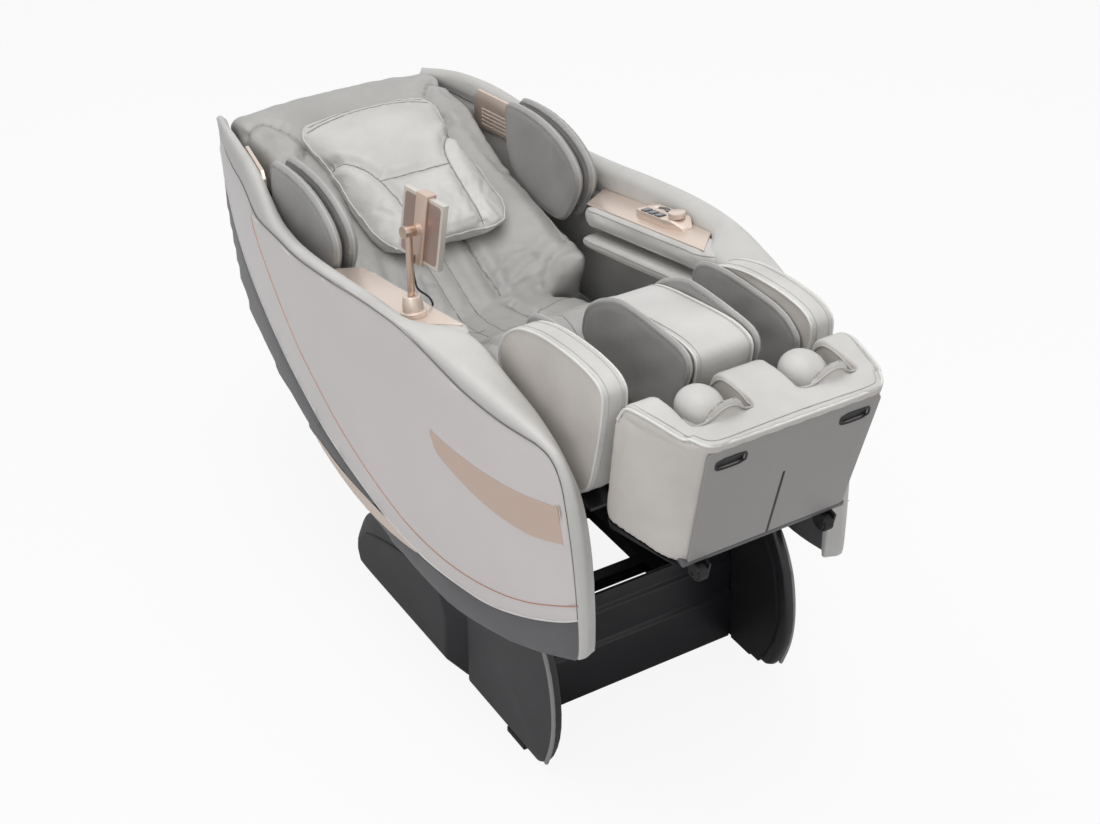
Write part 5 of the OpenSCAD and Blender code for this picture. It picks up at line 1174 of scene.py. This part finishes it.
corner, corner_share = 0.050, 0.75
panel_x = 0.180
turned = knee.to_3x3()
dome_n = 0.290  # the level to which the CAD's domes in the wells are pressed down
well_x = 0.107
well_half, well_front, well_rear, well_ease = 0.053, 0.4345, 0.330, 0.008
pressed_share = 0.92
foot_front = 0.498
body.normal_update()
for v in body.verts:
    p = leg_xyz(v)
    inside = min(well_half - abs(abs(p.x) - well_x), well_front + p.y, -p.y - well_rear) / well_ease
    if inside > 0 and p.z > dome_n:
        p.z -= (p.z - dome_n) * pressed_share * min(1, inside)
    s = -p.y
    full = half_width(s, p.z)
    in_corner = s - (foot_front - corner)
    if in_corner > 0:
        less = corner - math.sqrt(max(0, corner ** 2 - min(in_corner, corner) ** 2))
        share = max(0, min(1, (abs(p.x) - (full - 0.075)) / 0.075))
        p.x -= math.copysign(less * corner_share * share, p.x)
    if s > 0.484 and abs(p.x) < panel_x and 0.05 < p.z < 0.322:
        p.y = -min(s, 0.4925)
    v.co = knee @ p
top_line = [(0.321, 0.262), (0.326, 0.29), (0.336, 0.303), (0.364, 0.315), (0.388, 0.32),
    (0.423, 0.326), (0.458, 0.332), (0.47, 0.334)]
rim = []
for s, n in flowing(top_line, 0.006, closed=False):
    rim.append((half_width(s, n) - 0.001, -s, n))
for i in range(1, 12):
    turn = math.radians(90 * i / 12)
    rim.append((0.198 - corner_share * corner * (1 - math.cos(turn)) - 0.004,
                -(foot_front - corner + corner * math.sin(turn)) + 0.001,
                0.334 + 0.001 * i / 12))
rim += [(x, -0.4965, 0.3355) for x in (0.13, 0.09, 0.045, 0.0)]
rim = rim + [(-x, y, z) for x, y, z in reversed(rim[:-1])]
rim = [knee @ Vector(p) for p in rim]
body.normal_update()
sewn(body, [onto(body, rim)], 0.006, 0.0018, 0, 0.0006, seed=80)
body.normal_update()
body.faces.ensure_lookup_table()
for f in body.faces:
    p = knee.inverted() @ f.calc_center_median()
    n = turned.inverted() @ f.normal
    x = abs(p.x)
    in_well = abs(x - well_x) < 0.0585 and p.y > -0.4385 and p.z > 0.105
    in_grip = abs(x - 0.126) < 0.031 and p.y < -0.464 and 0.277 < p.z < 0.301
    under = p.z < 0.060 and n.z < -0.4
    if in_grip or under:
        f.material_index = 3
    elif in_well:
        # well faces take the back's darker leather: painted shade
        f.material_index = 2
    elif n.z > 0.55 or (n.y > 0.5 and p.z > 0.24 and p.y > -0.36):
        f.material_index = 1
    else:
        f.material_index = 0


def evened(points, rounds=4):
    """The line with its small kinks smoothed away."""
    for _ in range(rounds):
        mids = [(a + b * 2 + c) / 4 for a, b, c in zip(points, points[1:], points[2:])]
        points = [points[0]] + mids + [points[-1]]
    return points


in_wells = [v for v in body.verts if abs(abs(leg_xyz(v).x) - well_x) < 0.052 and 0.340 < -leg_xyz(v).y < 0.436
            and leg_xyz(v).z > 0.26]
softened(body, in_wells, 10)
middle = knee @ Vector((0, -0.39, 0.33))
piping = evened(onto(body, rim, 0.0018), 6)
stitch = evened(onto(body, [p + (middle - p).normalized() * 0.011 + turned @ Vector((0, 0, 0.003))
                            for p in rim], 0.0007))
place(line(piping, 0.0027), "foot_rim_piping", "piping", "foot", "foot_side")
place(line(stitch, 0.0007, sides=1), "foot_rim_stitch", "edge", "foot", "pad_leather")

# In each well a low round toe pad stands on the liner, and the well's edge is piped.
well_edge = [(0.0455, 0.3), (0.045, 0.42), (0.047, 0.443), (0.06, 0.4445), (0.107, 0.445),
    (0.154, 0.4445), (0.167, 0.443), (0.169, 0.42), (0.1685, 0.3)]
toe_radii = (0.042, 0.046, 0.036)
toe_x, toe_s, toe_n = 0.106, 0.378, 0.291
for side, turn in both:
    bm = bmesh.new()
    bmesh.ops.create_icosphere(bm, subdivisions=5, radius=1)
    bmesh.ops.scale(bm, vec=toe_radii, verts=bm.verts)
    bmesh.ops.transform(bm, matrix=knee @ Matrix.Translation((turn * toe_x, -toe_s, toe_n)), verts=bm.verts)
    piece = place(bm, f"toe_pad_{side}", "light", "foot", "foot_side", ["foot_cushion"], 60)
    edge = draped(body, knee, [(turn * x, -s) for x, s in well_edge], lift=0.0010, high=0.45)
    place(line(evened(edge), 0.0021), f"well_piping_{side}", "edge", "foot", "pad_leather")

piece = place(body, "foot_rest_leather", ["warm", "light", "back", "black"], "foot", "foot_side",
              ["foot_cushion", "foot_housing"], 60)

# The sole panel: a moulded plate with two grips and a groove up its middle, a dark strip
# along its lower edge.
grip = (0.099, 0.153, 0.280, 0.298)
grip_x = 0.126


looks["sole"] = moulded("moulded_sole_grey", "979593", 0.42, 0.0012, 0.20)


def sole_plate():
    bm = bmesh.new()
    outline = [(-0.163, 0.060), (0.163, 0.060), (0.1755, 0.314), (0.168, 0.3225), (-0.168, 0.3225),
        (-0.1755, 0.314)]
    bm.faces.new([bm.verts.new((x, -0.4985, n)) for x, n in flowing(outline, 0.008, passes=0)])
    for x in (-grip[1], -grip[0], -0.0024, 0.0024, grip[0], grip[1]):
        sliced(bm, (x, 0, 0), (1, 0, 0))
    for n in (0.190, grip[2], grip[3]):
        sliced(bm, (0, 0, n), (0, 0, 1))
    holes = [f for f in bm.faces for c in [f.calc_center_median()]
             if grip[0] < abs(c.x) < grip[1] and grip[2] < c.z < grip[3]]
    bmesh.ops.delete(bm, geom=holes, context="FACES")
    pushed(bm, bm.faces[:], (0, 0.005, 0), keep=True)
    bmesh.ops.remove_doubles(bm, verts=bm.verts, dist=1e-6)
    bmesh.ops.recalc_face_normals(bm, faces=bm.faces)
    groove = [f for f in bm.faces if abs(f.calc_center_median().x) < 0.002 and f.calc_center_median().z < 0.190
              and f.calc_center_median().y < -0.498 and abs(f.normal.y) > 0.9]
    pushed(bm, groove, (0, 0.0022, 0))
    bmesh.ops.delete(bm, geom=[f for f in groove if f.is_valid], context="FACES")
    rounded_edges(bm, 0.0011, 50, 3)
    bmesh.ops.transform(bm, matrix=knee, verts=bm.verts)
    return bm


place(sole_plate(), "sole_plate", "sole", "foot", "sole_grey", ["sole_panel"], 35)


def bar(x0, x1, s0, s1, n0, n1, round_by, name, look, paint):
    """A bar across the leg rest with rounded edges."""
    bm = bmesh.new()
    bmesh.ops.create_cube(bm, size=1)
    bmesh.ops.scale(bm, vec=(x1 - x0, s1 - s0, n1 - n0), verts=bm.verts)
    bmesh.ops.translate(bm, vec=((x0 + x1) / 2, -(s0 + s1) / 2, (n0 + n1) / 2), verts=bm.verts)
    rounded_edges(bm, round_by, 40)
    bmesh.ops.transform(bm, matrix=knee, verts=bm.verts)
    place(bm, name, look, "foot", paint)


bar(-0.172, 0.172, 0.452, 0.4975, 0.0462, 0.0585, 0.0035, "sole_lower_strip", "skirt", "skirt")
bar(-0.0030, 0.0030, 0.4940, 0.4989, 0.0610, 0.2110, 0.001, "sole_groove", "black", "box_black")
for side, turn in both:
    mid = turn * grip_x
    bar(mid - 0.0300, mid + 0.0300, 0.4850, 0.4955, 0.2775, 0.3005, 0.001,
        f"grip_floor_{side}", "black", "box_black")
    frame_points = flowing([(mid - 0.0300, 0.284), (mid - 0.0245, 0.2775), (mid + 0.0300, 0.2775),
                            (mid + 0.0300, 0.2955), (mid + 0.0250, 0.3005), (mid - 0.0300, 0.3005)],
                           0.003, passes=1)
    ring = [knee @ Vector((x, -0.4986, n)) for x, n in frame_points]
    place(line(ring, 0.0021, closed=True), f"grip_rim_{side}", "black", "foot", "box_black")
kept("mech", "foot_rollers")
caster_x = 0.338 * 0.396
eased("foot_casters", "rubber", 0.002, "rubber_black", sharp=30)
for side, turn in both:
    for face in (-1, 1):
        bm = bmesh.new()
        bmesh.ops.create_cone(bm, cap_ends=True, segments=24, radius1=0.0100, radius2=0.0082, depth=0.0022)
        bmesh.ops.rotate(bm, cent=(0, 0, 0), matrix=Matrix.Rotation(math.radians(90 * face), 3, "Y"),
            verts=bm.verts)
        rounded_edges(bm, 0.0004, 40, 2)
        bmesh.ops.transform(bm, matrix=knee @ Matrix.Translation(
            (turn * caster_x + face * 0.0096, -(foot_front + 0.002), 0.024)), verts=bm.verts)
        bmesh.ops.recalc_face_normals(bm, faces=bm.faces)
        place(bm, f"caster_hub_{side}_{'in' if face * turn < 0 else 'out'}", "hub", "casters", "rubber_black")
